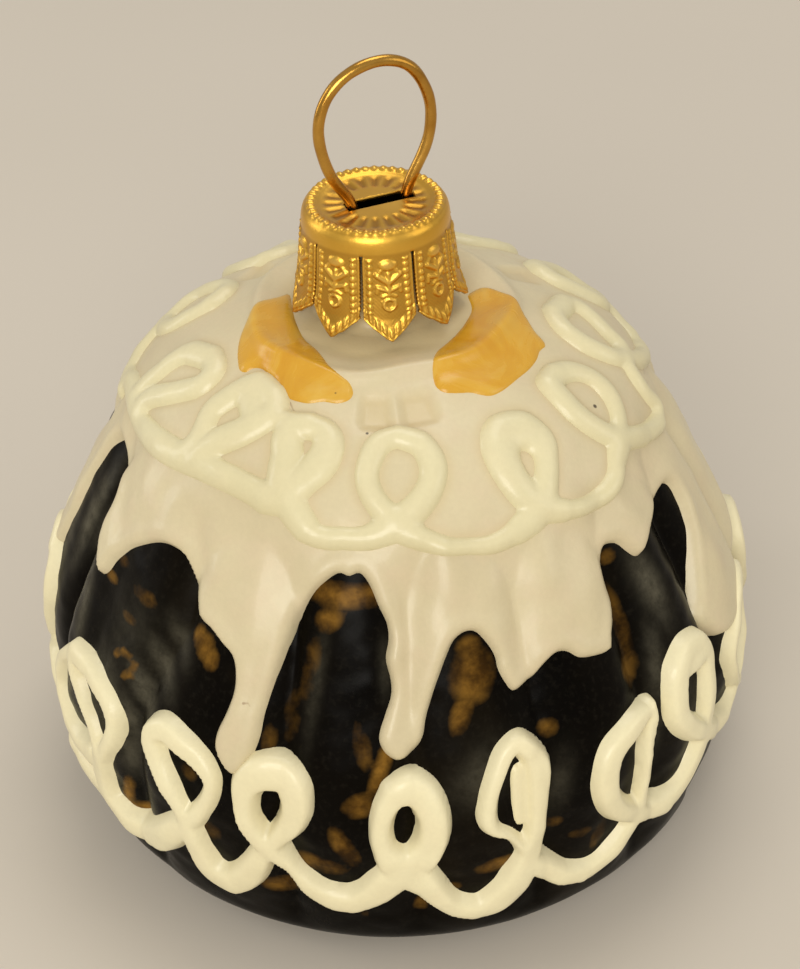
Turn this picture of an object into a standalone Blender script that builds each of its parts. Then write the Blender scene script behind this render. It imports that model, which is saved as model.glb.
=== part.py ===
"""Blown-glass tree ornament in the form of an iced bundt cake.

Three pieces: the moulded and painted glass body, the pressed metal crown cap that
sits over its neck, and the sprung wire loop whose two legs go down through the slot
of the cap into the bore of the neck.  +Z is up, the base rests on Z = 0, and the
front of the cake faces -Y.  Lengths below are in millimetres and angles in degrees,
counted round +Z from the front towards +X; the scene itself is in metres.
"""

import math

import bmesh
import bpy
from mathutils import Matrix, Vector

MM = 0.001

# ---- body of the cake ------------------------------------------------------------
BASE_R = 26.0            # flat resting face
# side of the cake from the base upwards: radius, height
SIDE = [(BASE_R, 0.0), (28.4, 0.3), (29.9, 1.6), (31.3, 3.4), (32.2, 6.4), (32.9, 10.0),
        (33.4, 14.5), (33.5, 18.8), (32.5, 24.8), (29.9, 30.8), (26.9, 36.8),
        (23.5, 42.8), (18.7, 47.0), (13.4, 49.7), (9.6, 51.2), (6.2, 52.3)]
SIDE_STEP = 3.55         # spacing of the rows of the side, along the profile
SEGMENTS = 54            # columns round the cake: three to each flute

NECK_R = 5.1             # glass neck under the cap
NECK_TOP = 60.9
BORE_R = 4.1             # bore of the neck, which takes the legs of the wire
BORE_FLOOR = 54.4
NECK_LEAN = -0.5         # the neck was drawn a little to the left of the axis

FLUTES = 18
FLUTE_PITCH = 360.0 / FLUTES
FLUTE_AT = -8.0          # crest of the flute next to the front
FLUTE_DEPTH = 1.4

# ---- icing -----------------------------------------------------------------------
ICING = 0.75             # thickness of the moulded icing
ICING_EDGE = 1.0         # width over which its edge rounds off
# windows of bare cake between the drips: middle, half width, height of the top
WINDOWS = [(-44.0, 15.5, 38.0), (-9.0, 9.3, 41.0), (13.5, 6.3, 36.0), (29.5, 8.5, 32.6),
           (47.5, 4.6, 37.6), (55.5, 6.8, 38.6), (-82.0, 11.0, 39.0), (86.0, 8.0, 33.0),
           (106.0, 9.5, 38.5), (129.0, 8.0, 36.0), (150.0, 9.0, 40.0), (172.0, 8.5, 35.0),
           (194.0, 9.5, 39.5), (217.0, 8.5, 36.5), (239.0, 8.0, 40.0), (258.0, 7.0, 34.0)]
DRIP_END = 23.0          # where the drips stop

# three lobes of amber glaze round the hollow at the top: middle, half width
LOBES = [(-56.0, 42.0), (62.0, 42.0), (183.0, 38.0)]
LOBE_IN, LOBE_OUT, LOBE_H = 8.2, 14.8, 0.55
COLLAR_R, COLLAR_W, COLLAR_H = 10.6, 1.3, 0.35

# ---- piped garlands ----------------------------------------------------------------
STRAND = 1.4            # radius of the piped line
SINK = 0.4              # how far its middle lies under the surface
LOW_LOOPS, LOW_AT = 20, 0.0
LOW_VALLEY, LOW_TOP, LOW_SWING = 12.6, 28.6, 8.0
TOP_LOOPS, TOP_AT = 12, 3.5
TOP_VALLEY, TOP_TOP, TOP_SWING = 49.6, 58.0, 11.5
LOOP_POINTS = 10

# ---- cap ---------------------------------------------------------------------------
TABS = 9
TAB_AT = 8.0             # middle of the tab next to the front
TAB_GAP = 3.6
COLUMNS = 3              # corner, point, corner of a tab
SHEET = 0.35             # thickness of the metal
CAP = [(4.7, 61.85), (5.3, 61.95), (5.75, 62.12), (6.15, 61.75), (6.4, 61.0), (6.5, 60.2)]
SKIRT = [(6.5, 60.2), (6.62, 58.4), (6.78, 56.4), (7.1, 54.4), (7.8, 52.4)]
CORNER_Z, TIP_Z = 54.35, 52.5
SLOT = (6.6, 1.75)       # length and width
SLOT_AT = (-0.1, 0.35)
SLOT_TURN = 21.0         # the slot and the loop turn this much from the X axis

# ---- wire --------------------------------------------------------------------------
WIRE_D = 1.1
# middle line in the plane of the loop: across, height
LOOP = [(-2.75, 56.3), (-2.45, 59.2), (-2.3, 61.8), (-3.0, 63.0), (-4.3, 64.9), (-5.1, 67.3), (-5.35, 69.2),
        (-5.0, 71.0), (-4.1, 72.5), (-2.6, 73.8), (-0.8, 74.5), (1.1, 74.5), (2.8, 73.8),
        (4.1, 72.4), (4.85, 70.6), (5.0, 68.7), (4.65, 66.5), (3.7, 64.6), (2.75, 62.9), (2.35, 61.8),
        (2.5, 59.2), (2.8, 56.3)]


def clear_scene():
    for ob in list(bpy.data.objects):
        bpy.data.objects.remove(ob, do_unlink=True)


def collection(name):
    col = bpy.data.collections.new(name)
    bpy.context.scene.collection.children.link(col)
    return col


def material(name, colour, rough, metal=0.0, coat=0.0):
    mat = bpy.data.materials.new(name)
    mat.use_nodes = True
    bsdf = mat.node_tree.nodes["Principled BSDF"]
    bsdf.inputs["Base Color"].default_value = (*colour, 1.0)
    bsdf.inputs["Roughness"].default_value = rough
    bsdf.inputs["Metallic"].default_value = metal
    bsdf.inputs["Coat Weight"].default_value = coat
    mat.diffuse_color = (*colour, 1.0)
    return mat


def smooth(t):
    t = min(1.0, max(0.0, t))
    return t * t * (3.0 - 2.0 * t)


def spline(points, parts):
    """Catmull-Rom curve through points, with parts steps to a span."""
    ends = [[2 * a - b for a, b in zip(points[0], points[1])], *points,
            [2 * a - b for a, b in zip(points[-1], points[-2])]]
    out = []
    for i in range(1, len(ends) - 2):
        for k in range(parts):
            t = k / parts
            out.append(tuple(
                0.5 * (2 * b + (c - a) * t + (2 * a - 5 * b + 4 * c - d) * t * t
                       + (3 * b - a - 3 * c + d) * t ** 3)
                for a, b, c, d in zip(ends[i - 1], ends[i], ends[i + 1], ends[i + 2])))
    out.append(tuple(points[-1]))
    return out


class Profile:
    """The side of the cake as a curve that is walked by its length."""

    def __init__(self, points):
        self.points = spline(points, 10)
        self.length = [0.0]
        for a, b in zip(self.points, self.points[1:]):
            self.length.append(self.length[-1] + math.dist(a, b))

    def at(self, s):
        s = min(max(s, 0.0), self.length[-1])
        for i in range(1, len(self.length)):
            if s <= self.length[i]:
                break
        a, b = self.points[i - 1], self.points[i]
        t = (s - self.length[i - 1]) / (self.length[i] - self.length[i - 1])
        return a[0] + (b[0] - a[0]) * t, a[1] + (b[1] - a[1]) * t

    def normal(self, s):
        a, b = self.at(s - 0.4), self.at(s + 0.4)
        run = math.dist(a, b)
        return (b[1] - a[1]) / run, -(b[0] - a[0]) / run

    def of_height(self, z):
        for i in range(1, len(self.points)):
            if self.points[i][1] >= z:
                a, b = self.points[i - 1], self.points[i]
                t = (z - a[1]) / max(b[1] - a[1], 1e-9)
                return self.length[i - 1] + t * (self.length[i] - self.length[i - 1])
        return self.length[-1]


side = Profile(SIDE)


def turn(a, b):
    """Angle from b to a, between -180 and 180."""
    return (a - b + 180.0) % 360.0 - 180.0


def icing_floor(angle):
    """Height of the lower edge of the icing at an angle."""
    floor = DRIP_END
    for middle, half, top in WINDOWS:
        across = abs(turn(angle, middle)) / half
        if across < 1.0:
            floor = max(floor, DRIP_END + (top - DRIP_END) * (1.0 - across ** 3))
    return floor


def relief(angle, r, z):
    """How far the glass stands off the turned profile at a place."""
    iced = smooth((z - icing_floor(angle)) / ICING_EDGE + 0.5)
    fade = smooth((z - 2.5) / 7.0) * (1.0 - 0.75 * smooth((z - 38.0) / 8.0)) * (1.0 - smooth((z - 46.0) / 4.0))
    from_groove = abs(turn(angle, FLUTE_AT) % FLUTE_PITCH / FLUTE_PITCH - 0.5)
    groove = (1.0 - 2.0 * from_groove) ** 2.5
    out = -FLUTE_DEPTH * fade * groove * (1.0 - 0.4 * iced) + ICING * iced * (1.0 - smooth((z - 50.5) / 1.6))
    if z > 46.0 and r > 7.5:
        out += COLLAR_H * math.exp(-((r - COLLAR_R) / COLLAR_W) ** 2)
        for middle, half in LOBES:
            across = turn(angle, middle) / half
            along = (r - (LOBE_IN + LOBE_OUT) / 2) / ((LOBE_OUT - LOBE_IN) / 2)
            out += LOBE_H * smooth((1.0 - across * across - along * along) * 2.0)
    return out


def lean(z):
    return NECK_LEAN * smooth((z - 44.0) / 10.0)


def on_side(angle, s, lift):
    """A point over the side of the cake, lift above its relief."""
    r, z = side.at(s)
    nr, nz = side.normal(s)
    off = relief(angle, r, z) + lift
    r, z = r + nr * off, z + nz * off
    a = math.radians(angle)
    return Vector((r * math.sin(a) + lean(z), -r * math.cos(a), z)) * MM


def evaluated_mesh(ob):
    deps = bpy.context.evaluated_depsgraph_get()
    return bpy.data.meshes.new_from_object(ob.evaluated_get(deps), depsgraph=deps)


def turned(name, profile, steps):
    """A solid turned round Z from a profile that runs down its outer side."""
    mesh = bpy.data.meshes.new(name + "_profile")
    mesh.from_pydata([(r * MM, 0.0, z * MM) for r, z in profile],
                     [(i, i + 1) for i in range(len(profile) - 1)], [])
    ob = bpy.data.objects.new(name + "_profile", mesh)
    bpy.context.scene.collection.objects.link(ob)
    screw = ob.modifiers.new("Turn", "SCREW")
    screw.axis = "Z"
    screw.steps = steps
    screw.render_steps = steps
    screw.use_merge_vertices = True
    screw.merge_threshold = 0.00001
    bpy.context.view_layer.update()
    out = evaluated_mesh(ob)
    bpy.data.objects.remove(ob, do_unlink=True)
    return out


def tube(name, points, radius, cyclic=False, sides=1):
    """A round strand along a list of points, as a closed mesh."""
    curve = bpy.data.curves.new(name, "CURVE")
    curve.dimensions = "3D"
    curve.bevel_depth = radius * MM
    curve.bevel_resolution = sides
    curve.use_fill_caps = True
    line = curve.splines.new("POLY")
    line.points.add(len(points) - 1)
    for p, co in zip(line.points, points):
        p.co = (*co, 1.0)
    line.use_cyclic_u = cyclic
    ob = bpy.data.objects.new(name + "_line", curve)
    bpy.context.scene.collection.objects.link(ob)
    bpy.context.view_layer.update()
    mesh = evaluated_mesh(ob)
    place = ob.matrix_world.copy()
    bpy.data.objects.remove(ob, do_unlink=True)
    work = bmesh.new()
    work.from_mesh(mesh)
    bmesh.ops.remove_doubles(work, verts=work.verts, dist=0.000002)
    bmesh.ops.recalc_face_normals(work, faces=work.faces)
    work.to_mesh(mesh)
    work.free()
    out = bpy.data.objects.new(name, mesh)
    out.matrix_world = place
    return out


def garland(loops, first, valley, top, swing):
    """One round of piped loops: a line that runs on in valleys and back over each loop."""
    points = []
    pitch = 360.0 / loops
    for k in range(loops):
        middle = first + k * pitch
        tall = 1.0 + 0.06 * math.sin(2.3 * k + 0.7)
        wide = 1.0 + 0.10 * math.sin(1.7 * k + 2.0)
        for i in range(LOOP_POINTS):
            t = i / LOOP_POINTS
            angle = middle + pitch * (t - 0.5) + swing * wide * math.sin(2 * math.pi * t)
            s = valley + (top - valley) * tall * 0.5 * (1.0 - math.cos(2 * math.pi * t))
            points.append(on_side(angle, s, -SINK))
    return points


def boolean(ob, other, operation):
    mod = ob.modifiers.new(operation.title(), "BOOLEAN")
    mod.operation = operation
    mod.solver = "EXACT"
    mod.object = other
    return mod


def largest_piece(mesh):
    """The mesh without the pockets that are shut in under the piped lines."""
    work = bmesh.new()
    work.from_mesh(mesh)
    left = set(work.verts)
    best = set()
    while left:
        start = left.pop()
        piece, edge = {start}, [start]
        while edge:
            for e in edge.pop().link_edges:
                for v in e.verts:
                    if v in left:
                        left.discard(v)
                        piece.add(v)
                        edge.append(v)
        if len(piece) > len(best):
            best = piece
    bmesh.ops.delete(work, geom=[v for v in work.verts if v not in best], context="VERTS")
    work.to_mesh(mesh)
    work.free()
    return mesh


def glass_body(parts, cutters):
    rows = int(round(side.length[-1] / SIDE_STEP))
    profile = [(0.0, BORE_FLOOR), (BORE_R, BORE_FLOOR), (BORE_R, NECK_TOP), (NECK_R, NECK_TOP), (NECK_R, 53.4)]
    profile += [side.at(side.length[-1] * (1.0 - i / rows)) for i in range(rows + 1)]
    profile += [(0.0, 0.0)]
    mesh = turned("glass_body", profile, SEGMENTS)
    work = bmesh.new()
    work.from_mesh(mesh)
    bmesh.ops.remove_doubles(work, verts=work.verts, dist=0.00001)
    groove = FLUTE_AT + FLUTE_PITCH / 2      # a column of points runs down each groove
    bmesh.ops.rotate(work, verts=work.verts, cent=(0.0, 0.0, 0.0),
                     matrix=Matrix.Rotation(math.radians((groove - 90.0) % (360.0 / SEGMENTS)), 3, "Z"))
    moved = {}
    for v in work.verts:
        r, z = math.hypot(v.co.x, v.co.y) / MM, v.co.z / MM
        angle = math.degrees(math.atan2(v.co.x, -v.co.y))
        co = v.co.copy()
        if 0.2 < z < 52.4 and r > 6.0:
            s = side.of_height(z)
            nr, nz = side.normal(s)
            off = relief(angle, r, z) * MM
            a = math.radians(angle)
            co += Vector((nr * math.sin(a), -nr * math.cos(a), nz)) * off
        co.x += lean(co.z / MM) * MM
        moved[v] = co
    for v, co in moved.items():
        v.co = co
    work.to_mesh(mesh)
    work.free()
    body = bpy.data.objects.new("glass_body", mesh)
    parts.objects.link(body)
    mesh.shade_smooth()

    for name, args in (("lower_garland", (LOW_LOOPS, LOW_AT, LOW_VALLEY, LOW_TOP, LOW_SWING)),
                       ("upper_garland", (TOP_LOOPS, TOP_AT, TOP_VALLEY, TOP_TOP, TOP_SWING))):
        strand = tube(name, garland(*args), STRAND, cyclic=True)
        cutters.objects.link(strand)
        strand.hide_render = True
        strand.display_type = "WIRE"
        union = boolean(body, strand, "UNION")
        union.use_self = True
    bpy.context.view_layer.update()
    joined = evaluated_mesh(body)
    body.modifiers.clear()
    body.data = largest_piece(joined)
    body.data.name = "glass_body"
    return body


def crown_cap(parts, cutters):
    pitch = 360.0 / TABS
    columns = []
    for k in range(TABS):
        for i in range(COLUMNS):
            across = 2.0 * i / (COLUMNS - 1) - 1.0
            columns.append((TAB_AT + k * pitch + across * (pitch - TAB_GAP) / 2, across))
    n = len(columns)

    def skirt_r(z):
        for (r0, z0), (r1, z1) in zip(SKIRT, SKIRT[1:]):
            if z >= z1:
                return r0 + (r1 - r0) * (z0 - z) / (z0 - z1)
        return SKIRT[-1][0]

    work = bmesh.new()
    rings = []
    for r, z in CAP:
        rings.append([work.verts.new((r * math.sin(math.radians(a)) * MM, -r * math.cos(math.radians(a)) * MM, z * MM))
                      for a, _ in columns])
    for row in range(1, len(SKIRT)):
        ring = []
        for a, across in columns:
            end = TIP_Z + (CORNER_Z - TIP_Z) * abs(across)
            z = CAP[-1][1] + (end - CAP[-1][1]) * row / (len(SKIRT) - 1)
            r = skirt_r(z)
            ring.append(work.verts.new((r * math.sin(math.radians(a)) * MM, -r * math.cos(math.radians(a)) * MM, z * MM)))
        rings.append(ring)
    work.faces.new(rings[0])
    for row in range(len(rings) - 1):
        for i in range(n):
            j = (i + 1) % n
            if row >= len(CAP) - 1 and i % COLUMNS == COLUMNS - 1:
                continue
            work.faces.new((rings[row][i], rings[row + 1][i], rings[row + 1][j], rings[row][j]))
    loose = [v for v in work.verts if not v.link_faces]
    bmesh.ops.delete(work, geom=loose, context="VERTS")
    bmesh.ops.recalc_face_normals(work, faces=work.faces)
    if sum(f.normal.z * f.calc_area() for f in work.faces) < 0:
        bmesh.ops.reverse_faces(work, faces=work.faces)
    mesh = bpy.data.meshes.new("cap")
    work.to_mesh(mesh)
    work.free()
    cap = bpy.data.objects.new("cap", mesh)
    cap.location = (NECK_LEAN * MM, 0.0, 0.0)
    parts.objects.link(cap)
    shell = cap.modifiers.new("Sheet", "SOLIDIFY")
    shell.thickness = SHEET * MM
    shell.offset = -1.0
    shell.use_even_offset = True

    box = bpy.data.meshes.new("slot")
    work = bmesh.new()
    bmesh.ops.create_cube(work, size=1.0)
    for v in work.verts:
        v.co = Vector((v.co.x * SLOT[0], v.co.y * SLOT[1], v.co.z * 3.0)) * MM
    work.to_mesh(box)
    work.free()
    slot = bpy.data.objects.new("slot", box)
    slot.location = Vector((SLOT_AT[0], SLOT_AT[1], 61.9)) * MM
    slot.rotation_euler = (0.0, 0.0, math.radians(SLOT_TURN))
    slot.hide_render = True
    slot.display_type = "WIRE"
    cutters.objects.link(slot)
    boolean(cap, slot, "DIFFERENCE")
    return cap


def hanger(parts):
    a = math.radians(SLOT_TURN)
    points = [Vector((SLOT_AT[0] + u * math.cos(a), SLOT_AT[1] + u * math.sin(a), z)) * MM
              for u, z in LOOP]
    wire = tube("wire_hanger", points, WIRE_D / 2, sides=2)
    parts.objects.link(wire)
    wire.data.shade_smooth()
    return wire


def main():
    clear_scene()
    parts = collection("bundt_cake_ornament")
    cutters = collection("cutters")
    chocolate = material("painted_glass", (0.79, 0.75, 0.65), 0.25, 0.0, 0.5)
    gold = material("gold_metal", (0.72, 0.48, 0.15), 0.35, 1.0)
    brass = material("brass_wire", (0.62, 0.40, 0.14), 0.3, 1.0)
    for ob, mat in ((glass_body(parts, cutters), chocolate), (crown_cap(parts, cutters), gold), (hanger(parts), brass)):
        ob.data.materials.clear()
        ob.data.materials.append(mat)
    bpy.context.view_layer.update()


main()
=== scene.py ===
"""Looks of the bundt cake ornament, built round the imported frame.

Surface places are given as (angle, s): degrees round +Z from the front (-Y) towards +X, and millimetres
walked up the side of the cake from the edge of its flat base.
"""

import math

import bmesh
import bpy
import numpy as np
from mathutils import Matrix, Vector


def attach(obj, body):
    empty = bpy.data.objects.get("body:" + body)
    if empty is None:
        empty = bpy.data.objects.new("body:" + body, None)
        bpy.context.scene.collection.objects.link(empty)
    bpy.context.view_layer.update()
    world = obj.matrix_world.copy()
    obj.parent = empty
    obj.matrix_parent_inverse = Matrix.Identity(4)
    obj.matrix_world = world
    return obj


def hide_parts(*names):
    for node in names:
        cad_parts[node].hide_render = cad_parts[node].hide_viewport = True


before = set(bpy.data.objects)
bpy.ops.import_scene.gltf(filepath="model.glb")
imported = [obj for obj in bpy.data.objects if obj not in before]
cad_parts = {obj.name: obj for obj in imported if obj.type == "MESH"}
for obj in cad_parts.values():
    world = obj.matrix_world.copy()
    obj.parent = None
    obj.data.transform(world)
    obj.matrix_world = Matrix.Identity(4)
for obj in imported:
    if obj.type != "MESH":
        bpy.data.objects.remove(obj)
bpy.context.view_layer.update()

MM = 0.001
rng = np.random.default_rng(7)

# ------------------------------------------------------------------ the turned side of the cake
SIDE = [(26.0, 0.0), (28.4, 0.3), (29.9, 1.6), (31.3, 3.4), (32.2, 6.4), (32.9, 10.0),
        (33.4, 14.5), (33.5, 18.8), (32.5, 24.8), (29.9, 30.8), (26.9, 36.8),
        (23.5, 42.8), (18.7, 47.0), (13.4, 49.7), (9.6, 51.2), (6.2, 52.3)]
NECK_R, NECK_TOP, BORE_R, BORE_FLOOR, NECK_LEAN = 5.1, 60.9, 4.1, 54.4, -0.5


def catmull(points, parts):
    p = np.asarray(points, float)
    q = np.vstack([2 * p[0] - p[1], p, 2 * p[-1] - p[-2]])
    out = []
    for i in range(1, len(q) - 2):
        a, b, c, d = q[i - 1], q[i], q[i + 1], q[i + 2]
        for k in range(parts):
            t = k / parts
            out.append(0.5 * (2 * b + (c - a) * t + (2 * a - 5 * b + 4 * c - d) * t * t
                              + (3 * b - a - 3 * c + d) * t ** 3))
    out.append(q[-2])
    return np.array(out)


PROFILE = catmull(SIDE, 16)
LENGTH = np.concatenate([[0.0], np.cumsum(np.hypot(*np.diff(PROFILE, axis=0).T))])
TOTAL = LENGTH[-1]


def side_rz(s):
    return np.interp(s, LENGTH, PROFILE[:, 0]), np.interp(s, LENGTH, PROFILE[:, 1])


def side_normal(s):
    ra, za = side_rz(np.clip(s - 0.5, 0, TOTAL))
    rb, zb = side_rz(np.clip(s + 0.5, 0, TOTAL))
    run = np.hypot(rb - ra, zb - za)
    return (zb - za) / run, -(rb - ra) / run


def smooth(t):
    t = np.clip(t, 0.0, 1.0)
    return t * t * (3.0 - 2.0 * t)


def turn(a, b):
    return (a - b + 180.0) % 360.0 - 180.0


def dome(d, w):
    """0 at an edge, rising steeply and rounding off to 1 at w inside it."""
    t = np.clip(d / w, 0.0, 1.0)
    return np.sqrt(1.0 - (1.0 - t) ** 2)


def round_place(angle, r, z):
    a = np.radians(angle)
    x = r * np.sin(a) + NECK_LEAN * smooth((z - 44.0) / 10.0)
    return np.stack([x, -r * np.cos(a), z + 0.0 * a], axis=-1)


def surface(angle, s):
    """Points in mm on the turned side, and the normals there."""
    r, z = side_rz(s)
    nr, nz = side_normal(s)
    a = np.radians(angle)
    p = round_place(angle, r, z)
    n = np.stack([nr * np.sin(a), -nr * np.cos(a), nz + 0.0 * a], axis=-1)
    return p, n


def waves(p, size, count=18, seed=1):
    """Soft random lumps, about -1 to 1, with a typical size in mm."""
    g = np.random.default_rng(seed)
    k = g.normal(size=(count, 3))
    k /= np.linalg.norm(k, axis=1)[:, None]
    k *= (2 * np.pi / size) * g.uniform(0.6, 1.4, (count, 1))
    phase = g.uniform(0, 2 * np.pi, count)
    return np.sin(p @ k.T + phase).sum(-1) / math.sqrt(count) * 0.9


# ------------------------------------------------------------------ flutes
FLUTES, FLUTE_AT, FLUTE_DEPTH, FLUTE_END = 18, -8.0, 1.25, 48.2
FLUTE_PITCH = 360.0 / FLUTES


def groove(angle, s):
    """1 down in the grooves between the flutes, 0 on their crests."""
    a = turn(angle, 0.0)
    # on the left one broad flute leans, and the groove beyond it is deeper
    power = 1.0 - 0.8 * np.exp(-((a + 57.5) / 7.0) ** 2) + 0.7 * np.exp(-((a + 73.5) / 6.0) ** 2)
    a = (a + (1.5 + 7.5 * np.clip((38.0 - s) / 12.0, 0, 1)) * np.exp(-((a + 43.0) / 10.0) ** 2)
         - 4.5 * np.exp(-((a + 73.0) / 8.0) ** 2))
    k = np.round(turn(a, FLUTE_AT) / FLUTE_PITCH)
    wobble = 0.9 * np.sin(2.1 * k + 0.4)
    u = np.abs(turn(a, FLUTE_AT + k * FLUTE_PITCH)) / (FLUTE_PITCH / 2)
    end = FLUTE_END + wobble * 0.7
    v = np.clip((s - (end - 6.5)) / 6.5, 0, 1.6)
    low = np.clip((13.0 - s) / 8.0, 0, 1.2)
    q = np.clip(np.sqrt(u ** 2 + v ** 2 + 0.0 * low), 0, 1)
    fade = smooth((s - 5.0) / 8.0) * (1.0 - 0.8 * smooth((s - 43.5) / 7.5)) * (1.0 - smooth((s - 50.0) / 3.0))
    return (q ** 2.6) * fade * power


# ------------------------------------------------------------------ shapes drawn on the side
def spread(points, parts, period=0.0):
    """A smooth closed line through (angle, s) points; period 360 when it goes right round the axis."""
    p = np.asarray(points, float)
    step = np.array([period, 0.0])
    n = len(p)
    long_line = np.vstack([p[-2:] - step, p, p[:2] + step])
    line = catmull(long_line, parts)
    return line[2 * parts:(2 + n) * parts]


def curve_distance(angle, s, line, closed=False, reach=9.0):
    """Distance in mm to a line of (angle, s) points, and how many times a walk up the side crosses it."""
    shape = angle.shape
    ang, ss = angle.ravel(), s.ravel()
    r_at = side_rz(ss)[0]
    best = np.full(ang.shape, 99.0)
    count = np.zeros(ang.shape, int)
    n = len(line)
    last = n if closed else n - 1
    order = np.argsort(ang, kind="stable")
    sorted_ang = ang[order]
    for i in range(last):
        a0, s0 = line[i]
        a1, s1 = line[(i + 1) % n]
        span = turn(a1, a0)
        lo, hi = min(a0, a0 + span) - reach, max(a0, a0 + span) + reach
        picks = []
        for shift in (-360.0, 0.0, 360.0):
            i0, i1 = np.searchsorted(sorted_ang, [lo + shift, hi + shift])
            if i1 > i0:
                picks.append(order[i0:i1])
        if not picks:
            continue
        idx = np.concatenate(picks)
        da = turn(ang[idx], a0)
        scale = np.radians(1.0) * r_at[idx]
        px, py = da * scale, ss[idx] - s0
        bx, by = span * scale, (s1 - s0)
        t = np.clip((px * bx + py * by) / (bx * bx + by * by + 1e-9), 0, 1)
        d = np.hypot(px - t * bx, py - t * by)
        best[idx] = np.minimum(best[idx], d)
        if abs(span) > 1e-9:
            f = da / span
            count[idx] += ((da >= 0) != (da - span >= 0)) & (s0 + f * (s1 - s0) > ss[idx])
    return best.reshape(shape), count.reshape(shape)


# lower edge of the icing round the front, left to right
ICING_FRONT = [
    (-100.0, 42.0), (-97.2, 39.0), (-95.0, 34.4), (-92.6, 30.6), (-89.0, 29.4), (-86.0, 31.0), (-84.6, 35.0), (-84.6, 39.4), (-84.2, 42.6),
    (-83.2, 44.8), (-81.2, 46.1), (-78.6, 46.0), (-75.6, 45.2), (-72.6, 44.6), (-69.4, 44.1), (-68.6, 42.8), (-68.9, 41.0), (-68.0, 39.2), (-66.4, 37.9),
    (-64.8, 36.8), (-63.2, 36.6), (-61.6, 37.5), (-60.6, 38.8), (-57.9, 40.8), (-54.1, 42.4), (-50.3, 43.5), (-46.8, 43.9), (-43.6, 43.6), (-40.8, 42.2),
    (-38.8, 40.6), (-36.9, 39.2), (-33.6, 38.7), (-30.9, 37.9), (-28.7, 37.2), (-27.6, 35.8), (-27.4, 34.0), (-28.2, 32.0),
    (-29.3, 29.8), (-28.9, 28.2), (-26.4, 26.6), (-23.9, 27.3), (-22.5, 29.9), (-21.7, 32.9), (-20.2, 36.9),
    (-18.9, 39.5), (-17.5, 41.9), (-15.6, 43.8), (-13.0, 45.2), (-10.6, 46.0), (-8.5, 45.8), (-6.5, 46.1),
    (-4.5, 45.1), (-2.9, 43.4), (-1.4, 41.8), (-1.2, 40.3), (-1.8, 38.8), (-1.1, 37.1), (-1.1, 35.5),
    (-2.0, 34.0), (-2.9, 32.6), (-3.0, 31.5), (-2.0, 30.4), (-0.2, 29.7), (1.8, 30.2), (3.6, 31.6), (4.6, 33.9),
    (6.6, 36.6), (8.4, 38.6), (10.1, 40.0), (12.4, 40.6), (14.4, 40.3), (16.2, 38.9), (17.0, 37.8), (17.0, 36.8),
    (18.0, 35.4), (19.1, 34.5), (20.8, 34.5), (23.1, 35.0), (25.5, 36.0), (27.8, 36.6), (29.7, 36.3),
    (31.4, 35.4), (34.2, 34.9), (38.0, 34.6), (39.3, 35.7), (41.2, 37.1), (42.3, 38.6), (42.4, 40.4),
    (43.3, 42.3), (44.6, 43.0), (46.9, 42.7), (48.6, 41.6), (49.9, 40.7), (51.4, 40.4), (53.4, 40.8), (56.0, 41.5), (59.6, 42.1),
    (62.6, 42.5), (65.0, 42.9), (67.4, 43.0), (69.1, 42.3), (69.4, 41.0), (68.9, 39.6), (67.6, 37.6), (65.8, 36.0), (63.8, 34.3),
    (61.8, 32.2), (60.4, 30.4), (61.6, 28.3), (66.0, 26.3), (72.0, 26.0), (78.0, 26.6), (84.0, 28.2), (88.5, 30.6), (91.5, 34.5), (94.5, 38.4)]
# and round the back, as (half width, depth) of windows and drips in turn
ICING_BACK = [
    (98.5, 40.8), (102.0, 42.2), (105.8, 43.4),
    (110.0, 44.6), (114.5, 44.2), (118.0, 41.0), (119.5, 37.6), (122.5, 36.0), (127.0, 36.8), (131.0, 35.6),
    (134.5, 36.6), (137.0, 39.8), (140.5, 43.6), (145.5, 45.4), (150.0, 44.0), (152.5, 40.2), (153.5, 35.4),
    (154.0, 31.0), (156.5, 28.6), (160.0, 29.4), (161.5, 33.4), (163.5, 37.6), (167.5, 40.6), (172.0, 40.0),
    (175.0, 37.4), (178.5, 36.0), (183.0, 37.0), (187.0, 36.2), (190.5, 38.0), (193.5, 42.2), (198.5, 45.2),
    (204.0, 45.0), (208.0, 41.4), (209.8, 36.8), (210.2, 32.4), (213.0, 30.0), (216.5, 31.4), (218.0, 35.8),
    (221.0, 40.0), (225.5, 42.2), (230.0, 40.4), (232.0, 36.6), (235.0, 34.4), (239.0, 35.2), (243.0, 34.6),
    (246.0, 37.0), (248.5, 40.6), (253.0, 43.4), (257.0, 42.6)]
ICING_LINE = spread(ICING_FRONT + ICING_BACK, 4, 360.0)


def icing_depth(angle, s):
    """Signed distance in mm inside the icing: above 0 where the cake is iced."""
    d, crossings = curve_distance(angle, s, ICING_LINE, closed=True)
    d = np.minimum(d, 12.0)
    return np.where(crossings % 2 == 0, d, -d)


ICING_H = 0.72


def icing_lift(angle, s, d, p):
    inner = dome(d, 0.45) * 0.5 + dome(d, 2.2) * 0.5
    folds = waves(p * np.array([1.0, 1.0, 0.28]), 5.0, seed=3) * 0.17 + waves(p * np.array([1.0, 1.0, 0.45]), 2.6, seed=4) * 0.05
    band = smooth((s - 29.0) / 6.0) * (1.0 - smooth((s - 47.0) / 4.0))
    lumps = waves(p, 5.5, seed=6) * 0.07 * smooth((s - 47.0) / 4.0) * (1.0 - smooth((s - 62.0) / 3.0))
    rim = 0.14 * np.exp(-((d - 0.95) / 0.6) ** 2)
    lift = ICING_H * inner + folds * dome(d, 3.0) * band + lumps + rim * (s < 49)
    lift = np.where(d < 0.8, np.minimum(lift, 1.7 * d), lift)
    return lift - FLUTE_DEPTH * groove(angle, s) * (1.0 - 0.3 * dome(d, 2.0))


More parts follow.
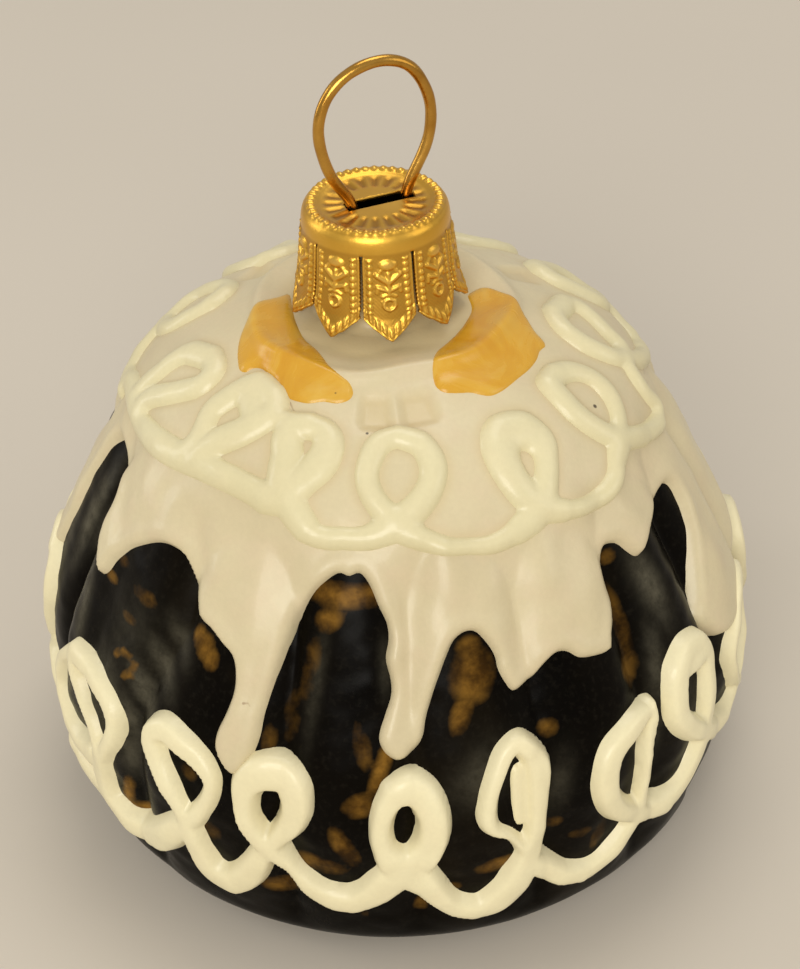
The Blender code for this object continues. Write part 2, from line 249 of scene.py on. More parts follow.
def glass_lift(angle, s):
    """The dark glass: fluted, and well under the icing near the top."""
    return -FLUTE_DEPTH * groove(angle, s) - 2.0 * smooth((s - 54.0) / 8.0)


def dents(angle, s):
    """1 inside the shallow squarish dents between the garland and the hollow."""
    out = np.zeros(angle.shape)
    for at, mid, ha, hs in ((-3.0, 60.0, 4.6, 1.2), (11.2, 60.1, 5.2, 1.15), (118.0, 60.1, 5.0, 1.2), (-128.0, 60.1, 5.0, 1.2)):
        out += smooth(1.6 - np.abs(turn(angle, at)) / ha) * smooth(1.8 - np.abs(s - mid) / hs)
    return out


def top_hollow(angle, s):
    """Relief of the iced top: the ring round the neck and two shallow squarish dents in front of it."""
    lip = 63.5 + 0.3 * np.sin(np.radians(3 * angle + 40)) + 0.2 * np.sin(np.radians(7 * angle))
    out = 0.55 * np.exp(-((s - lip) / 0.75) ** 2)
    out += -1.05 * smooth((s - lip - 0.5) / 3.0)
    return out - 0.45 * dents(angle, s)


# ------------------------------------------------------------------ piped garlands
# each loop: under strand and over strand, as (angle, s, half width)
LOWER = {
    "J0": [(-86.0, 15.4, 1.6), (-80.0, 15.6, 1.6), (-73.0, 14.6, 1.6), (-66.0, 14.4, 1.6), (-59.5, 14.2, 1.6), (-53.8, 14.4, 1.6), (-49.8, 13.4, 1.7)],
    "L0u": [(-53.8, 14.8, 1.5), (-55.0, 17.0, 1.4), (-54.0, 20.2, 1.25), (-52.2, 22.8, 1.1), (-50.2, 25.2, 1.05), (-49.8, 27.2, 1.1), (-51.4, 28.6, 1.2), (-55.0, 29.5, 1.25), (-59.0, 30.1, 1.3), (-62.5, 30.1, 1.3)],
    "L0o": [(-59.0, 29.9, 1.3), (-62.4, 29.7, 1.3), (-61.6, 27.7, 0.9), (-59.0, 26.0, 0.8), (-56.2, 24.6, 0.8), (-54.4, 22.8, 0.95), (-53.8, 21.0, 1.3),
            (-54.6, 17.6, 1.5), (-53.8, 14.8, 1.55), (-49.8, 13.4, 1.7), (-45.8, 13.2, 1.85)],
    "L0x": [(-61.8, 30.0, 1.2), (-65.8, 28.4, 1.0), (-68.6, 26.2, 1.0), (-69.8, 23.0, 1.1), (-66.6, 19.6, 1.5), (-61.6, 18.4, 1.75), (-56.4, 19.6, 1.6)],
    "L1u": [(-49.8, 13.4, 1.7), (-45.8, 13.2, 1.85), (-41.4, 14.6, 1.9), (-36.6, 18.0, 1.6), (-33.4, 20.8, 1.2), (-30.8, 23.7, 0.95),
            (-29.4, 26.2, 0.95), (-30.4, 27.8, 1.15), (-33.6, 29.0, 1.4), (-38.2, 29.9, 1.45)],
    "L1o": [(-34.0, 29.1, 1.4), (-38.2, 29.9, 1.45), (-40.9, 28.7, 1.35), (-39.9, 26.7, 1.35), (-37.6, 24.4, 1.3),
            (-35.4, 22.0, 1.2), (-34.0, 19.4, 1.3), (-33.2, 16.6, 1.5), (-31.4, 13.9, 1.7), (-27.9, 13.2, 1.8)],
    "L2u": [(-31.4, 13.9, 1.7), (-27.9, 13.2, 1.8), (-24.2, 15.4, 1.65), (-21.4, 19.2, 1.25), (-19.2, 21.5, 1.2),
            (-17.2, 23.6, 1.35), (-16.0, 26.0, 1.6), (-16.7, 28.3, 1.85), (-19.0, 29.2, 2.0), (-21.4, 29.0, 1.9)],
    "L2o": [(-19.0, 29.2, 2.0), (-21.4, 28.9, 1.9), (-23.5, 27.6, 1.55), (-24.0, 25.2, 1.25), (-23.1, 22.9, 1.2),
            (-21.2, 20.8, 1.3), (-18.8, 18.9, 1.15), (-16.6, 17.0, 1.05), (-14.2, 15.3, 1.45), (-11.3, 14.4, 1.6), (-8.2, 14.2, 1.7)],
    "L3u": [(-11.3, 14.4, 1.6), (-8.2, 14.2, 1.7), (-4.8, 15.4, 1.8), (-1.6, 17.6, 2.1), (1.4, 19.4, 2.0), (3.7, 21.6, 1.65),
            (4.6, 24.4, 1.55), (3.6, 27.0, 1.7), (1.4, 28.4, 1.85), (-0.6, 28.2, 1.55)],
    "L3o": [(1.4, 28.4, 1.85), (-0.6, 28.0, 1.5), (-2.4, 26.5, 1.2), (-3.2, 24.2, 1.1), (-2.6, 21.7, 1.25), (-0.5, 19.3, 1.95),
            (2.2, 17.1, 1.9), (4.8, 14.8, 1.5), (7.5, 13.1, 1.4), (10.8, 12.3, 1.55)],
    "L4u": [(7.5, 13.1, 1.4), (10.8, 12.3, 1.55), (14.2, 12.9, 1.9), (17.1, 14.9, 1.95), (19.2, 18.5, 1.55), (20.4, 22.2, 1.22),
            (20.9, 25.4, 1.28), (21.1, 28.1, 1.4), (20.1, 30.0, 1.25), (18.3, 31.1, 1.1)],
    "L4o": [(19.8, 30.2, 1.2), (18.2, 31.2, 1.1), (16.0, 30.5, 1.05), (14.3, 28.7, 1), (13.0, 26.6, 0.95), (12.6, 24.5, 0.95), (13.4, 23.1, 0.85),
            (15.7, 22.0, 0.66), (17.7, 20.2, 0.75), (19.3, 17.7, 1.1), (22.0, 15.4, 1.4), (25.2, 13.6, 1.45), (28.6, 12.9, 1.4)],
    "L5u": [(25.2, 13.6, 1.45), (28.6, 12.9, 1.4), (32.0, 13.1, 1.4), (35.3, 14.3, 1.4), (38.1, 16.1, 1.3), (39.7, 18.1, 1.1),
            (40.5, 20.8, 0.88), (41.0, 23.7, 0.88), (41.9, 26.0, 0.95), (42.5, 27.4, 0.95), (42.8, 28.8, 0.75)],
    "L5o": [(42.6, 27.4, 0.9), (42.0, 28.4, 0.95), (38.2, 28.1, 1.35), (33.9, 27.0, 1.45), (32.2, 25.0, 1.5), (32.3, 22.5, 1.45),
            (34.4, 19.8, 1.35), (38.4, 17.5, 1.3), (42.0, 16.0, 1.4), (45.7, 15.3, 1.6)],
    "L6u": [(41.6, 16.2, 1.4), (45.4, 15.6, 1.55), (49.6, 16.0, 1.5), (53.4, 18.2, 1.45), (55.5, 20.7, 1.35), (56.6, 22.8, 1.3),
            (57.2, 25.2, 1.3), (57.6, 27.4, 1.35), (57.4, 29.4, 1.4), (56.2, 30.6, 1.3)],
    "L6o": [(57.2, 29.6, 1.3), (56.0, 30.7, 1.35), (52.4, 31.1, 1.5), (49.4, 30.0, 1.5), (48.2, 28.0, 1.45), (48.3, 25.6, 1.4), (50.8, 23.2, 1.35), (54.8, 21.0, 1.3),
            (58.6, 19.2, 1.4), (62.0, 17.6, 1.4), (66.0, 17.0, 1.2)],
    "L6x": [(56.8, 29.4, 1.35), (54.4, 29.6, 1.45), (51.4, 29.9, 1.5)],
    "L7u": [(58.6, 19.4, 1.3), (62.0, 17.8, 1.4), (66.0, 17.0, 1.3), (71.0, 18.0, 1.2), (76.5, 20.8, 1.1), (80.8, 24.0, 1.1), (81.8, 26.8, 1.15), (79.5, 29.0, 1.2), (75.5, 28.9, 1.2)],
    "L7o": [(79.5, 29.0, 1.2), (75.5, 28.9, 1.2), (70.6, 27.0, 1.15), (67.2, 25.0, 0.9), (67.4, 22.8, 0.8), (70.0, 19.9, 0.9), (74.6, 17.4, 1.1), (79.6, 15.2, 1.4), (84.6, 14.0, 1.6)],
}


def make_back_loops():
    """The unseen loops: the same hand, so the same loop drawn again with a different size and lean each time."""
    start, end, loops = 84.6, 360.0 - 80.0, 10
    pitch = (end - start) / loops
    g = np.random.default_rng(11)
    valley = [g.uniform(12.4, 15.0) for _ in range(loops + 1)]
    valley[0], valley[-1] = 14.0, 15.8
    for k in range(loops):
        m = start + (k + 0.5) * pitch
        wide, top, neck = g.uniform(5.0, 6.8), g.uniform(28.2, 30.6), g.uniform(18.2, 20.6)
        skew, w = g.uniform(-1.6, 1.6), g.uniform(1.25, 1.6)
        far = start + (k + 1) * pitch
        if k == loops - 1:
            top = 32.6
        mid = (top + neck) / 2 + 1.0
        vl, vr = valley[k], valley[k + 1]
        LOWER[f"B{k}u"] = [(m - pitch * 0.62, vl + 0.2, w + 0.15), (m - pitch * 0.5, vl, w + 0.2), (m - pitch * 0.26, vl + 2.6, w), (m, neck, w - 0.1),
                           (m + wide * 0.75, mid - 2.0, w - 0.25), (m + wide, mid + 1.2, w - 0.15), (m + wide * 0.7 + skew, top - 1.2, w), (m + skew, top, w + 0.1)]
        LOWER[f"B{k}o"] = [(m + wide * 0.6 + skew, top - 1.1, w), (m + skew, top, w + 0.1), (m - wide * 0.7 + skew, top - 1.2, w), (m - wide, mid + 1.2, w - 0.15),
                           (m - wide * 0.72, mid - 2.0, w - 0.2), (m, neck, w), (m + (far - m) * 0.5, vr + 2.6, w), (far, vr, w + 0.1)]


make_back_loops()

UPPER = {
    "V01": [(-99.0, 48.7, 1.1), (-95.0, 49.4, 1.1), (-90.5, 50.4, 1.1), (-85.0, 50.9, 1.1), (-78.9, 51.1, 1.1), (-74.3, 50.9, 1.15), (-67.6, 51.4, 1.2),
            (-59.7, 51.9, 1.3), (-51.6, 52.4, 1.3), (-44.5, 52.8, 1.25), (-38.5, 52.9, 1.2), (-32.8, 52.7, 1.2), (-28.1, 52.3, 1.25)],
    "U1u": [(-77.2, 51.3, 1.0), (-81.8, 51.6, 1.0), (-83.6, 53.0, 1.0), (-83.2, 56.0, 1.0), (-82.8, 58.2, 1.0), (-80.2, 60.0, 1.05), (-74.0, 61.0, 1.05)],
    "U1o": [(-80.2, 60.0, 1.05), (-72.5, 60.9, 1.05), (-66.4, 60.2, 1.05), (-65.4, 58.6, 1.0), (-69.8, 56.9, 1.0), (-74.7, 55.0, 1.0), (-77.5, 52.9, 1.0), (-76.0, 51.4, 1.0)],
    "U2u": [(-52.9, 52.6, 1.15), (-51.9, 54.1, 1.1), (-52.8, 55.6, 1.05), (-54.3, 57.2, 1.05), (-53.5, 58.5, 1.1), (-50.9, 60.2, 1.15), (-47.3, 61.4, 1.2), (-39.6, 61.2, 1.2)],
    "U2o": [(-47.3, 61.4, 1.2), (-39.3, 61.1, 1.2), (-36.3, 60.2, 1.15), (-37.1, 59.0, 1.15), (-41.3, 57.2, 1.25), (-45.2, 55.7, 1.25), (-48.2, 54.1, 1.15), (-49.3, 53.0, 1.15)],
    "U2f": [(-47.8, 60.3, 1.15), (-44.0, 59.6, 1.2), (-39.8, 58.7, 1.2)],
    "V23": [(-40.0, 58.2, 1.0), (-36.7, 59.1, 1.05), (-32.2, 59.6, 1.0), (-27.5, 59.8, 1.0), (-23.0, 60.2, 0.9)],
    "U3u": [(-28.1, 52.3, 1.1), (-23.7, 52.7, 1.15), (-20.2, 54.9, 1.2), (-16.9, 56.7, 1.25), (-16.1, 58.2, 1.15), (-18.4, 59.4, 1.05), (-23.3, 59.8, 1.0), (-27.5, 59.4, 1.0)],
    "U3o": [(-23.3, 59.8, 1.0), (-27.4, 59.3, 1.05), (-28.1, 58.2, 1.15), (-26.5, 56.9, 1.2), (-25.9, 55.0, 1.15), (-24.1, 53.4, 1.1), (-20.9, 51.6, 1.1), (-17.8, 49.9, 1.0)],
    "V34": [(-21.6, 51.4, 1.1), (-17.8, 49.7, 1.0), (-13.3, 49.0, 0.98), (-8.7, 48.9, 0.95), (-4.2, 49.2, 1.05), (0.2, 50.2, 1.2)],
    "U4u": [(-4.2, 49.2, 1.05), (0.4, 50.2, 1.4), (5.2, 51.7, 1.25), (9.4, 53.8, 1.15), (11.0, 56.0, 1.2), (8.8, 57.9, 1.15), (3.5, 58.6, 1.1)],
    "U4o": [(8.8, 57.9, 1.15), (3.5, 58.6, 1.1), (-2.3, 58.0, 1.08), (-5.2, 55.9, 1.02), (-4.6, 53.7, 1.02), (-1.9, 51.7, 1.1), (1.6, 50.2, 1.35), (5.8, 49.1, 1.0), (10.2, 48.4, 0.8)],
    "V45": [(5.8, 49.1, 1.0), (10.2, 48.4, 0.78), (15.0, 48.1, 0.72), (20.1, 48.0, 0.85), (26.0, 48.7, 1.05), (31.5, 49.8, 1.2)],
    "U5u": [(26.0, 48.7, 1.05), (32.0, 50.0, 1.25), (35.4, 51.7, 1.05), (38.4, 53.6, 1.0), (39.6, 55.4, 1.35), (37.4, 56.9, 1.55), (33.0, 57.2, 1.55)],
    "U5o": [(37.4, 56.9, 1.55), (32.6, 57.2, 1.6), (29.0, 55.9, 1.5), (28.2, 53.8, 1.35), (29.6, 51.6, 1.25), (32.6, 49.9, 1.1), (36.6, 49.0, 0.9)],
    "V56": [(32.6, 49.9, 1.1), (36.6, 49.0, 0.9), (42.2, 48.4, 0.8), (48.2, 48.3, 0.9), (54.0, 49.1, 1.0), (58.6, 50.2, 1.1)],
    "U6u": [(54.0, 49.3, 1.0), (58.4, 51.2, 1.0), (63.0, 52.0, 1.0), (66.2, 53.4, 1.05), (68.4, 55.2, 1.1), (68.7, 57.0, 1.1), (65.9, 58.4, 1.15), (60.5, 59.2, 1.2), (56.0, 59.0, 1.2)],
    "U6o": [(60.5, 59.2, 1.2), (55.9, 59.0, 1.2), (54.5, 57.6, 1.25), (54.3, 55.8, 1.25), (55.8, 53.6, 1.15), (58.6, 51.6, 1.1), (63.0, 50.2, 1.0), (68.0, 49.0, 0.95)],
    "V67": [(58.0, 50.8, 1.0), (63.2, 50.2, 1.0), (67.0, 49.4, 0.95), (72.1, 48.5, 0.95), (78.4, 47.8, 1.0), (81.0, 48.6, 1.05), (80.2, 50.4, 1.0), (80.9, 52.3, 1.0), (84.1, 53.8, 1.0), (89.7, 54.6, 1.0)],
    "U7u": [(85.0, 54.4, 1.1), (89.7, 54.8, 1.1), (92.6, 56.4, 1.1), (97.1, 57.8, 1.1), (101.0, 59.2, 1.15), (99.1, 60.8, 1.2), (91.6, 61.8, 1.2)],
    "U7o": [(99.1, 60.8, 1.2), (91.6, 61.8, 1.2), (84.4, 60.9, 1.2), (81.2, 59.2, 1.2), (80.9, 57.6, 1.15), (82.3, 56.0, 1.1), (85.4, 54.4, 1.1), (90.6, 51.8, 1.0), (97.0, 49.6, 1.0), (104.0, 48.6, 1.0)],
}


def make_back_rounds():
    """The upper loops round the back, from behind the right one to behind the left one."""
    start, end, loops = 104.0, 360.0 - 96.0, 5
    pitch = (end - start) / loops
    g = np.random.default_rng(5)
    valley = [g.uniform(47.9, 49.2) for _ in range(loops + 1)]
    valley[0], valley[-1] = 48.6, 48.6
    for k in range(loops):
        m = start + (k + 0.5) * pitch
        wide, top, neck, w = g.uniform(7.4, 9.0), g.uniform(59.4, 60.6), g.uniform(51.2, 52.2), g.uniform(1.1, 1.25)
        skew = g.uniform(-1.5, 1.5)
        vl, vr = valley[k], valley[k + 1]
        UPPER[f"B{k}u"] = [(m - pitch * 0.62, vl + 0.4, w), (m - pitch * 0.5, vl, w - 0.1), (m - pitch * 0.24, vl + 0.9, w), (m, neck, w + 0.1), (m + wide * 0.85, neck + 2.0, w),
                           (m + wide + skew, neck + 4.4, w), (m + wide * 0.7 + skew, top - 0.8, w), (m + skew, top, w)]
        UPPER[f"B{k}o"] = [(m + wide * 0.7 + skew, top - 0.8, w), (m + skew, top, w), (m - wide * 0.75 + skew, top - 0.8, w), (m - wide, neck + 4.2, w),
                           (m - wide * 0.8, neck + 2.0, w), (m, neck, w), (m + pitch * 0.24, vr + 0.9, w), (m + pitch * 0.5, vr, w - 0.1), (m + pitch * 0.6, vr + 0.3, w)]


make_back_rounds()


EDGE_SLOPE = 1.7        # how steeply relief leaves the surface
WIDER = {"U1": 1.25, "U2": 1.15, "U3": 1.22, "U5": 1.15}


def low_shift(angle, s):
    """How far down the lower strands sit from their drawn places."""
    foot = np.interp(angle, [-180, -60, -30, -5, 12, 60, 180], [-0.4, -0.15, -0.15, -0.4, -0.75, -0.75, -0.4])
    top = np.interp(angle, [-180, -60, -20, 5, 60, 180], [-1.0, -1.5, -1.5, -1.2, -0.9, -1.0])
    return foot + (top - foot) * np.clip((s - 16.0) / 8.0, 0, 1)


def high_shift(angle, s):
    foot = np.interp(angle, [-180, -70, -40, -20, -10, 5, 15, 30, 50, 70, 180], [-1.1, -0.9, -1.1, -0.6, 0.1, -0.2, -0.4, -1.0, -1.1, -1.1, -1.1])
    top = np.interp(angle, [-180, -100, -80, -50, -24, 2, 34, 66, 97, 180], [-1.15, -1.5, -2.7, -1.4, -1.9, -1.0, -1.5, -1.9, -3.0, -1.2])
    return foot + (top - foot) * np.clip((s - 50.0) / 6.0, 0, 1)


def strand_field(angle, s, strands, height, raise_over=0.12, blend=0.12, shift=None, shape_in=2.0, shape_out=0.45):
    """Lift in mm of piped strands over the surface; below 0 outside them."""
    shape = angle.shape
    ang, ss = angle.ravel(), s.ravel()
    r_at = side_rz(ss)[0]
    total = np.full(ang.shape, -9.0)
    for key, points in strands.items():
        line = catmull(points, 6)
        line[:, 1] += shift(turn(line[:, 0], 0.0), line[:, 1])
        line[:, 2] *= WIDER.get(key[:2], 1.0)
        lo, hi = line[:, 0].min() - 7.0, line[:, 0].max() + 7.0
        near = (np.abs(turn(ang, (lo + hi) / 2)) < (hi - lo) / 2) & (ss > line[:, 1].min() - 3.5) & (ss < line[:, 1].max() + 3.5)
        idx = np.nonzero(near)[0]
        if not len(idx):
            continue
        scale = np.radians(1.0) * r_at[idx]
        dist = np.full(len(idx), 99.0)
        part = np.full(len(idx), -9.0)
        for (a0, s0, w0), (a1, s1, w1) in zip(line, line[1:]):
            px, py = turn(ang[idx], a0) * scale, ss[idx] - s0
            bx, by = turn(a1, a0) * scale, s1 - s0
            t = np.clip((px * bx + py * by) / (bx * bx + by * by + 1e-9), 0, 1)
            d = np.hypot(px - t * bx, py - t * by)
            w = w0 + t * (w1 - w0)
            q = d / w
            tall = height * (0.62 + 0.38 * np.clip(w / 1.4, 0.5, 1.25))
            inside = tall * np.clip(1.0 - q ** shape_in, 0, 1) ** shape_out
            lift = np.minimum(inside, EDGE_SLOPE * (w - d))
            part = np.maximum(part, lift)
        if key.endswith("o"):
            part = np.where(part > 0, part + raise_over * np.clip(part / height, 0, 1), part)
        old = total[idx]
        soft = np.where((old > -1.5) & (part > -1.5), np.clip(blend - np.abs(old - part), 0, blend) ** 2 / (4 * blend), 0.0)
        total[idx] = np.maximum(old, part) + soft
    return total.reshape(shape)


# ------------------------------------------------------------------ amber glaze
AMBER = {
    "left": [(-104, 67.3), (-98, 66.6), (-90, 65.1), (-81, 63.7), (-74, 62.7), (-67.5, 61.9), (-63, 61.4), (-58.8, 61.0), (-55.8, 61.2),
             (-54.8, 61.9), (-51.7, 62.3), (-47.5, 62.3), (-43, 62.1), (-39.4, 61.5), (-36.6, 61.1), (-32, 60.9), (-26, 61.0), (-21.4, 61.5),
             (-16.3, 61.6), (-12.4, 62.1), (-11.4, 62.8), (-13.4, 63.6), (-18, 64.1), (-24, 64.9), (-31, 66.0), (-40, 66.8), (-54, 67.3),
             (-66, 67.7), (-80, 67.9), (-94, 67.8)],
    "right": [(96, 67.7), (101.5, 67.0), (101.5, 66.0), (94, 64.8), (87, 63.7), (80.5, 62.6), (75.5, 61.7), (72.5, 60.7), (70.2, 60.4), (66.5, 60.6),
              (62.1, 60.4), (56, 60.3), (50, 60.3), (44.9, 60.2), (39.9, 60.1), (36, 60.2), (33.1, 60.7), (30.6, 61.2), (25.6, 61.6),
              (21.8, 62.0), (20.1, 62.7), (20.6, 63.6), (22.4, 64.6), (26.1, 65.6), (32, 66.4), (41, 66.9), (52, 67.2), (66, 67.4), (82, 67.4)],
    "back": [(140, 67.2), (143, 65.2), (150, 63.4), (158, 61.7), (166, 60.9), (174, 61.5), (180, 62.3), (187, 61.6), (196, 60.7),
             (206, 61.2), (214, 62.6), (220, 64.4), (224, 66.4), (218, 67.5), (200, 67.7), (180, 67.6), (158, 67.6)],
}
AMBER_H = 0.34


def polygon_depth(angle, s, points):
    line = spread(points, 4) - [0.0, 1.0]
    d, crossings = curve_distance(angle, s, line, closed=True, reach=14.0)
    d = np.minimum(d, 6.0)
    return np.where(crossings % 2 == 1, d, -d)


# ------------------------------------------------------------------ meshes
def new_object(name, verts, faces):
    mesh = bpy.data.meshes.new(name)
    mesh.from_pydata(verts, [], faces)
    mesh.update()
    mesh.shade_smooth()
    ob = bpy.data.objects.new(name, mesh)
    bpy.context.scene.collection.objects.link(ob)
    return ob


def patch(name, points, normals, keep, top, under, values=None):
    """A closed sheet of relief over a grid that goes right round: rows up, columns round.

    keep says which cells it has, top and under how far its two faces stand off the surface."""
    rows, cols = top.shape
    up = points + normals * top[..., None]
    down = points + normals * under[..., None]
    index = np.arange(rows * cols).reshape(rows, cols)
    right = np.roll(index, -1, axis=1)
    a, b = index[:-1], right[:-1]
    c, d = right[1:], index[1:]
    k = keep
    size = rows * cols
    top_faces = np.stack([a[k], b[k], c[k], d[k]], axis=1)
    low_faces = np.stack([a[k], d[k], c[k], b[k]], axis=1) + size
    walls = []

    def wall(e0, e1, mask):
        if mask.any():
            walls.append(np.stack([e1[mask], e0[mask], e0[mask] + size, e1[mask] + size], axis=1))

    none = np.zeros((1, cols), bool)
    below = np.vstack([none, k[:-1]])
    above = np.vstack([k[1:], none])
    wall(a, b, k & ~below)
    wall(c, d, k & ~above)
    wall(d, a, k & ~np.roll(k, 1, axis=1))
    wall(b, c, k & ~np.roll(k, -1, axis=1))
    faces = np.vstack([top_faces, low_faces] + walls)
    verts = np.vstack([up.reshape(-1, 3), down.reshape(-1, 3)]) * MM
    used = np.unique(faces)
    remap = np.full(len(verts), -1)
    remap[used] = np.arange(len(used))
    ob = new_object(name, verts[used].tolist(), remap[faces].tolist())
    if values:
        for key, grid in values.items():
            attr = ob.data.attributes.new(key, "FLOAT", "POINT")
            both = np.concatenate([grid.ravel(), grid.ravel()])[used]
            attr.data.foreach_set("value", both.astype(np.float32))
    return ob


def grid_on_side(columns, s_rows):
    angle = np.linspace(-180.0, 180.0, columns, endpoint=False)[None, :] + 0.0137 + 0.0 * s_rows[:, None]
    s = s_rows[:, None] + 0.0 * angle
    p, n = surface(angle, s)
    return angle, s, p, n


def cells(inside):
    """Cells with any corner inside."""
    r = np.roll(inside, -1, axis=1)
    return inside[:-1] | inside[1:] | r[:-1] | r[1:]


# rubbed golden marks on the dark flutes: angle, s, half width, half height, lean, strength
RUBS = [(-8.6, 44.2, 3.4, 0.9, 0.0, 1.0), (-12.0, 42.0, 1.0, 1.0, 0.3, 0.8), (-14.9, 37.4, 0.8, 3.2, 0.12, 0.4), (-17.4, 33.0, 0.9, 2.6, 0.1, 0.3),
        (-5.9, 31.2, 0.7, 1.9, -0.2, 0.55), (12.6, 36.8, 1.6, 2.0, 0.1, 0.9), (10.0, 33.4, 0.8, 1.5, 0.3, 0.8), (12.6, 39.2, 1.0, 0.8, 0.0, 0.7),
        (42.6, 35.6, 0.8, 3.6, -0.05, 0.55), (41.2, 31.5, 0.8, 1.6, 0.0, 0.5), (-36.6, 37.5, 0.7, 0.8, 0.0, 0.85), (-34.7, 36.9, 0.8, 1.0, 0.0, 0.9), (-32.9, 36.0, 0.7, 0.9, 0.0, 0.8),
        (-50.0, 38.3, 1.5, 0.7, 0.0, 0.55), (-52.3, 35.4, 1.2, 0.5, 0.0, 0.45), (-52.8, 31.7, 0.45, 0.4, 0.0, 0.6), (-51.2, 32.4, 0.45, 0.35, 0.0, 0.65), (-49.5, 32.4, 0.4, 0.35, 0.0, 0.65), (-48.1, 31.8, 0.4, 0.5, 0.0, 0.8), (-48.5, 30.9, 0.45, 0.4, 0.0, 0.8), (-49.6, 30.4, 0.4, 0.35, 0.0, 0.6), (-58.8, 39.4, 0.9, 0.5, 0.0, 0.6), (-60.6, 37.2, 0.9, 0.5, 0.0, 0.6),
        (24.0, 30.1, 0.8, 0.8, 0.0, 0.6), (-49.4, 16.8, 0.6, 2.0, 0.25, 0.85), (-45.8, 15.2, 2.2, 0.6, 0.0, 0.9), (-8.7, 20.6, 0.9, 2.0, -0.3, 0.75),
        (-6.3, 25.4, 1.2, 1.1, 0.3, 0.8), (-2.9, 29.0, 0.6, 2.4, 0.3, 0.85), (-12.6, 17.8, 1.9, 1.0, -0.3, 0.7), (-19.6, 13.2, 1.9, 1.0, -0.1, 0.6),
        (14.6, 16.9, 1.6, 0.8, 0.5, 0.9), (7.6, 14.6, 0.7, 0.5, 0.0, 0.45), (31.9, 16.2, 0.7, 1.5, 0.2, 0.6), (31.6, 19.6, 0.5, 1.3, 0.0, 0.4),
        (28.5, 17.4, 1.2, 0.7, 0.0, 0.35), (-31.4, 18.6, 1.4, 1.2, 0.2, 0.45), (23.7, 19.6, 0.9, 0.7, 0.0, 0.4), (-28.6, 29.2, 0.3, 1.2, 0.0, 0.7),
        (-34.0, 24.9, 0.9, 1.0, 0.0, 0.35), (40.0, 42.2, 1.2, 0.7, 0.0, 0.3), (44.6, 42.0, 0.8, 0.6, 0.0, 0.5), (-20.8, 30.3, 0.6, 1.6, 0.0, 0.4),
        (2.4, 11.4, 0.6, 0.8, 0.0, 0.5), (-6.6, 10.9, 0.5, 0.7, 0.0, 0.35)]


def rub_field(angle, s):
    g = np.random.default_rng(21)
    marks = list(RUBS)
    for _ in range(58):          # the same wear round the back
        marks.append((g.uniform(84.0, 266.0), g.uniform(15.0, 43.0), g.uniform(0.6, 1.8), g.uniform(0.6, 2.4), g.uniform(-0.3, 0.3), g.uniform(0.3, 0.9)))
    out = np.zeros(angle.shape)
    r = side_rz(s)[0]
    for a, t, w, h, lean, power in marks:
        x = turn(angle, a) * np.radians(1.0) * r
        y = s - t
        x = x - lean * y
        out = np.maximum(out, power * np.exp(-((x / (w * 1.25)) ** 2 + (y / (h * 1.25)) ** 2) ** 1.6))
    return out


# painted reflection: soft grey streaks of reflected light painted on some flutes: angle, s, half width, half height,
# lean, strength
PAINTED_SHEENS = [(-40.4, 36.2, 1.0, 1.8, -0.6, 0.5), (-42.8, 33.2, 1.2, 2.2, -0.6, 0.75), (-45.6, 30.0, 1.3, 2.4, -0.6, 0.9), (-47.8, 26.4, 1.2, 2.6, -0.3, 0.7), (-47.6, 22.4, 1.3, 2.6, 0.0, 0.6), (-53.0, 27.6, 2.2, 3.6, -0.3, 0.6), (-51.0, 34.0, 3.6, 4.0, 0.0, 0.22),
          (-66.0, 32.6, 1.0, 3.4, -0.3, 0.9), (-79.0, 38.0, 0.9, 5.0, 0.0, 0.9), (-74.0, 40.0, 0.8, 4.0, 0.2, 0.7), (-85.0, 36.0, 0.8, 4.0, -0.2, 0.8), (51.0, 37.4, 1.3, 3.6, -0.1, 0.85), (46.5, 30.6, 1.0, 4.0, 0.2, 0.5), (44.0, 24.0, 0.9, 3.0, 0.2, 0.35), (-13.6, 36.0, 0.6, 5.0, 0.1, 0.3), (12.0, 27.5, 2.2, 2.6, 0.3, 0.42),
          (-2.0, 38.0, 0.5, 2.4, 0.0, 0.3), (60.0, 22.0, 1.2, 4.0, 0.0, 0.7), (67.0, 12.0, 5.0, 2.0, 0.0, 0.3), (24.5, 24.0, 1.2, 3.0, 0.2, 0.3)]


def painted_sheen_field(angle, s):
    # painted reflection: how strongly grey reflected light is painted at each place, with more streaks round the back
    g = np.random.default_rng(33)
    marks = list(PAINTED_SHEENS)
    for _ in range(22):
        marks.append((g.uniform(85.0, 280.0), g.uniform(18.0, 40.0), g.uniform(0.8, 2.2), g.uniform(2.5, 5.0), g.uniform(-0.5, 0.5), g.uniform(0.3, 0.8)))
    out = np.zeros(angle.shape)
    r = side_rz(s)[0]
    for a, t, w, h, lean, power in marks:
        y = s - t
        x = turn(angle, a) * np.radians(1.0) * r - lean * y
        out = np.maximum(out, power * np.exp(-((x / w) ** 2 + (y / h) ** 2)))
    return out


# ------------------------------------------------------------------ materials
def nodes_of(name):
    mat = bpy.data.materials.new(name)
    mat.use_nodes = True
    tree = mat.node_tree
    return mat, tree, tree.nodes["Principled BSDF"]


def add(tree, kind, **inputs):
    node = tree.nodes.new(kind)
    for key, value in inputs.items():
        key = key.replace("_", " ")
        if hasattr(value, "is_output") or isinstance(value, bpy.types.NodeSocket):
            tree.links.new(value, node.inputs[key])
        else:
            node.inputs[key].default_value = value
    return node


def coords(tree, scale=(1, 1, 1)):
    where = tree.nodes.new("ShaderNodeTexCoord")
    place = tree.nodes.new("ShaderNodeMapping")
    place.inputs["Scale"].default_value = scale
    tree.links.new(where.outputs["Object"], place.inputs["Vector"])
    return place.outputs["Vector"]


def noise(tree, vector, scale, detail=4.0, rough=0.55, distortion=0.0):
    return add(tree, "ShaderNodeTexNoise", Vector=vector, Scale=scale, Detail=detail, Roughness=rough, Distortion=distortion).outputs["Fac"]


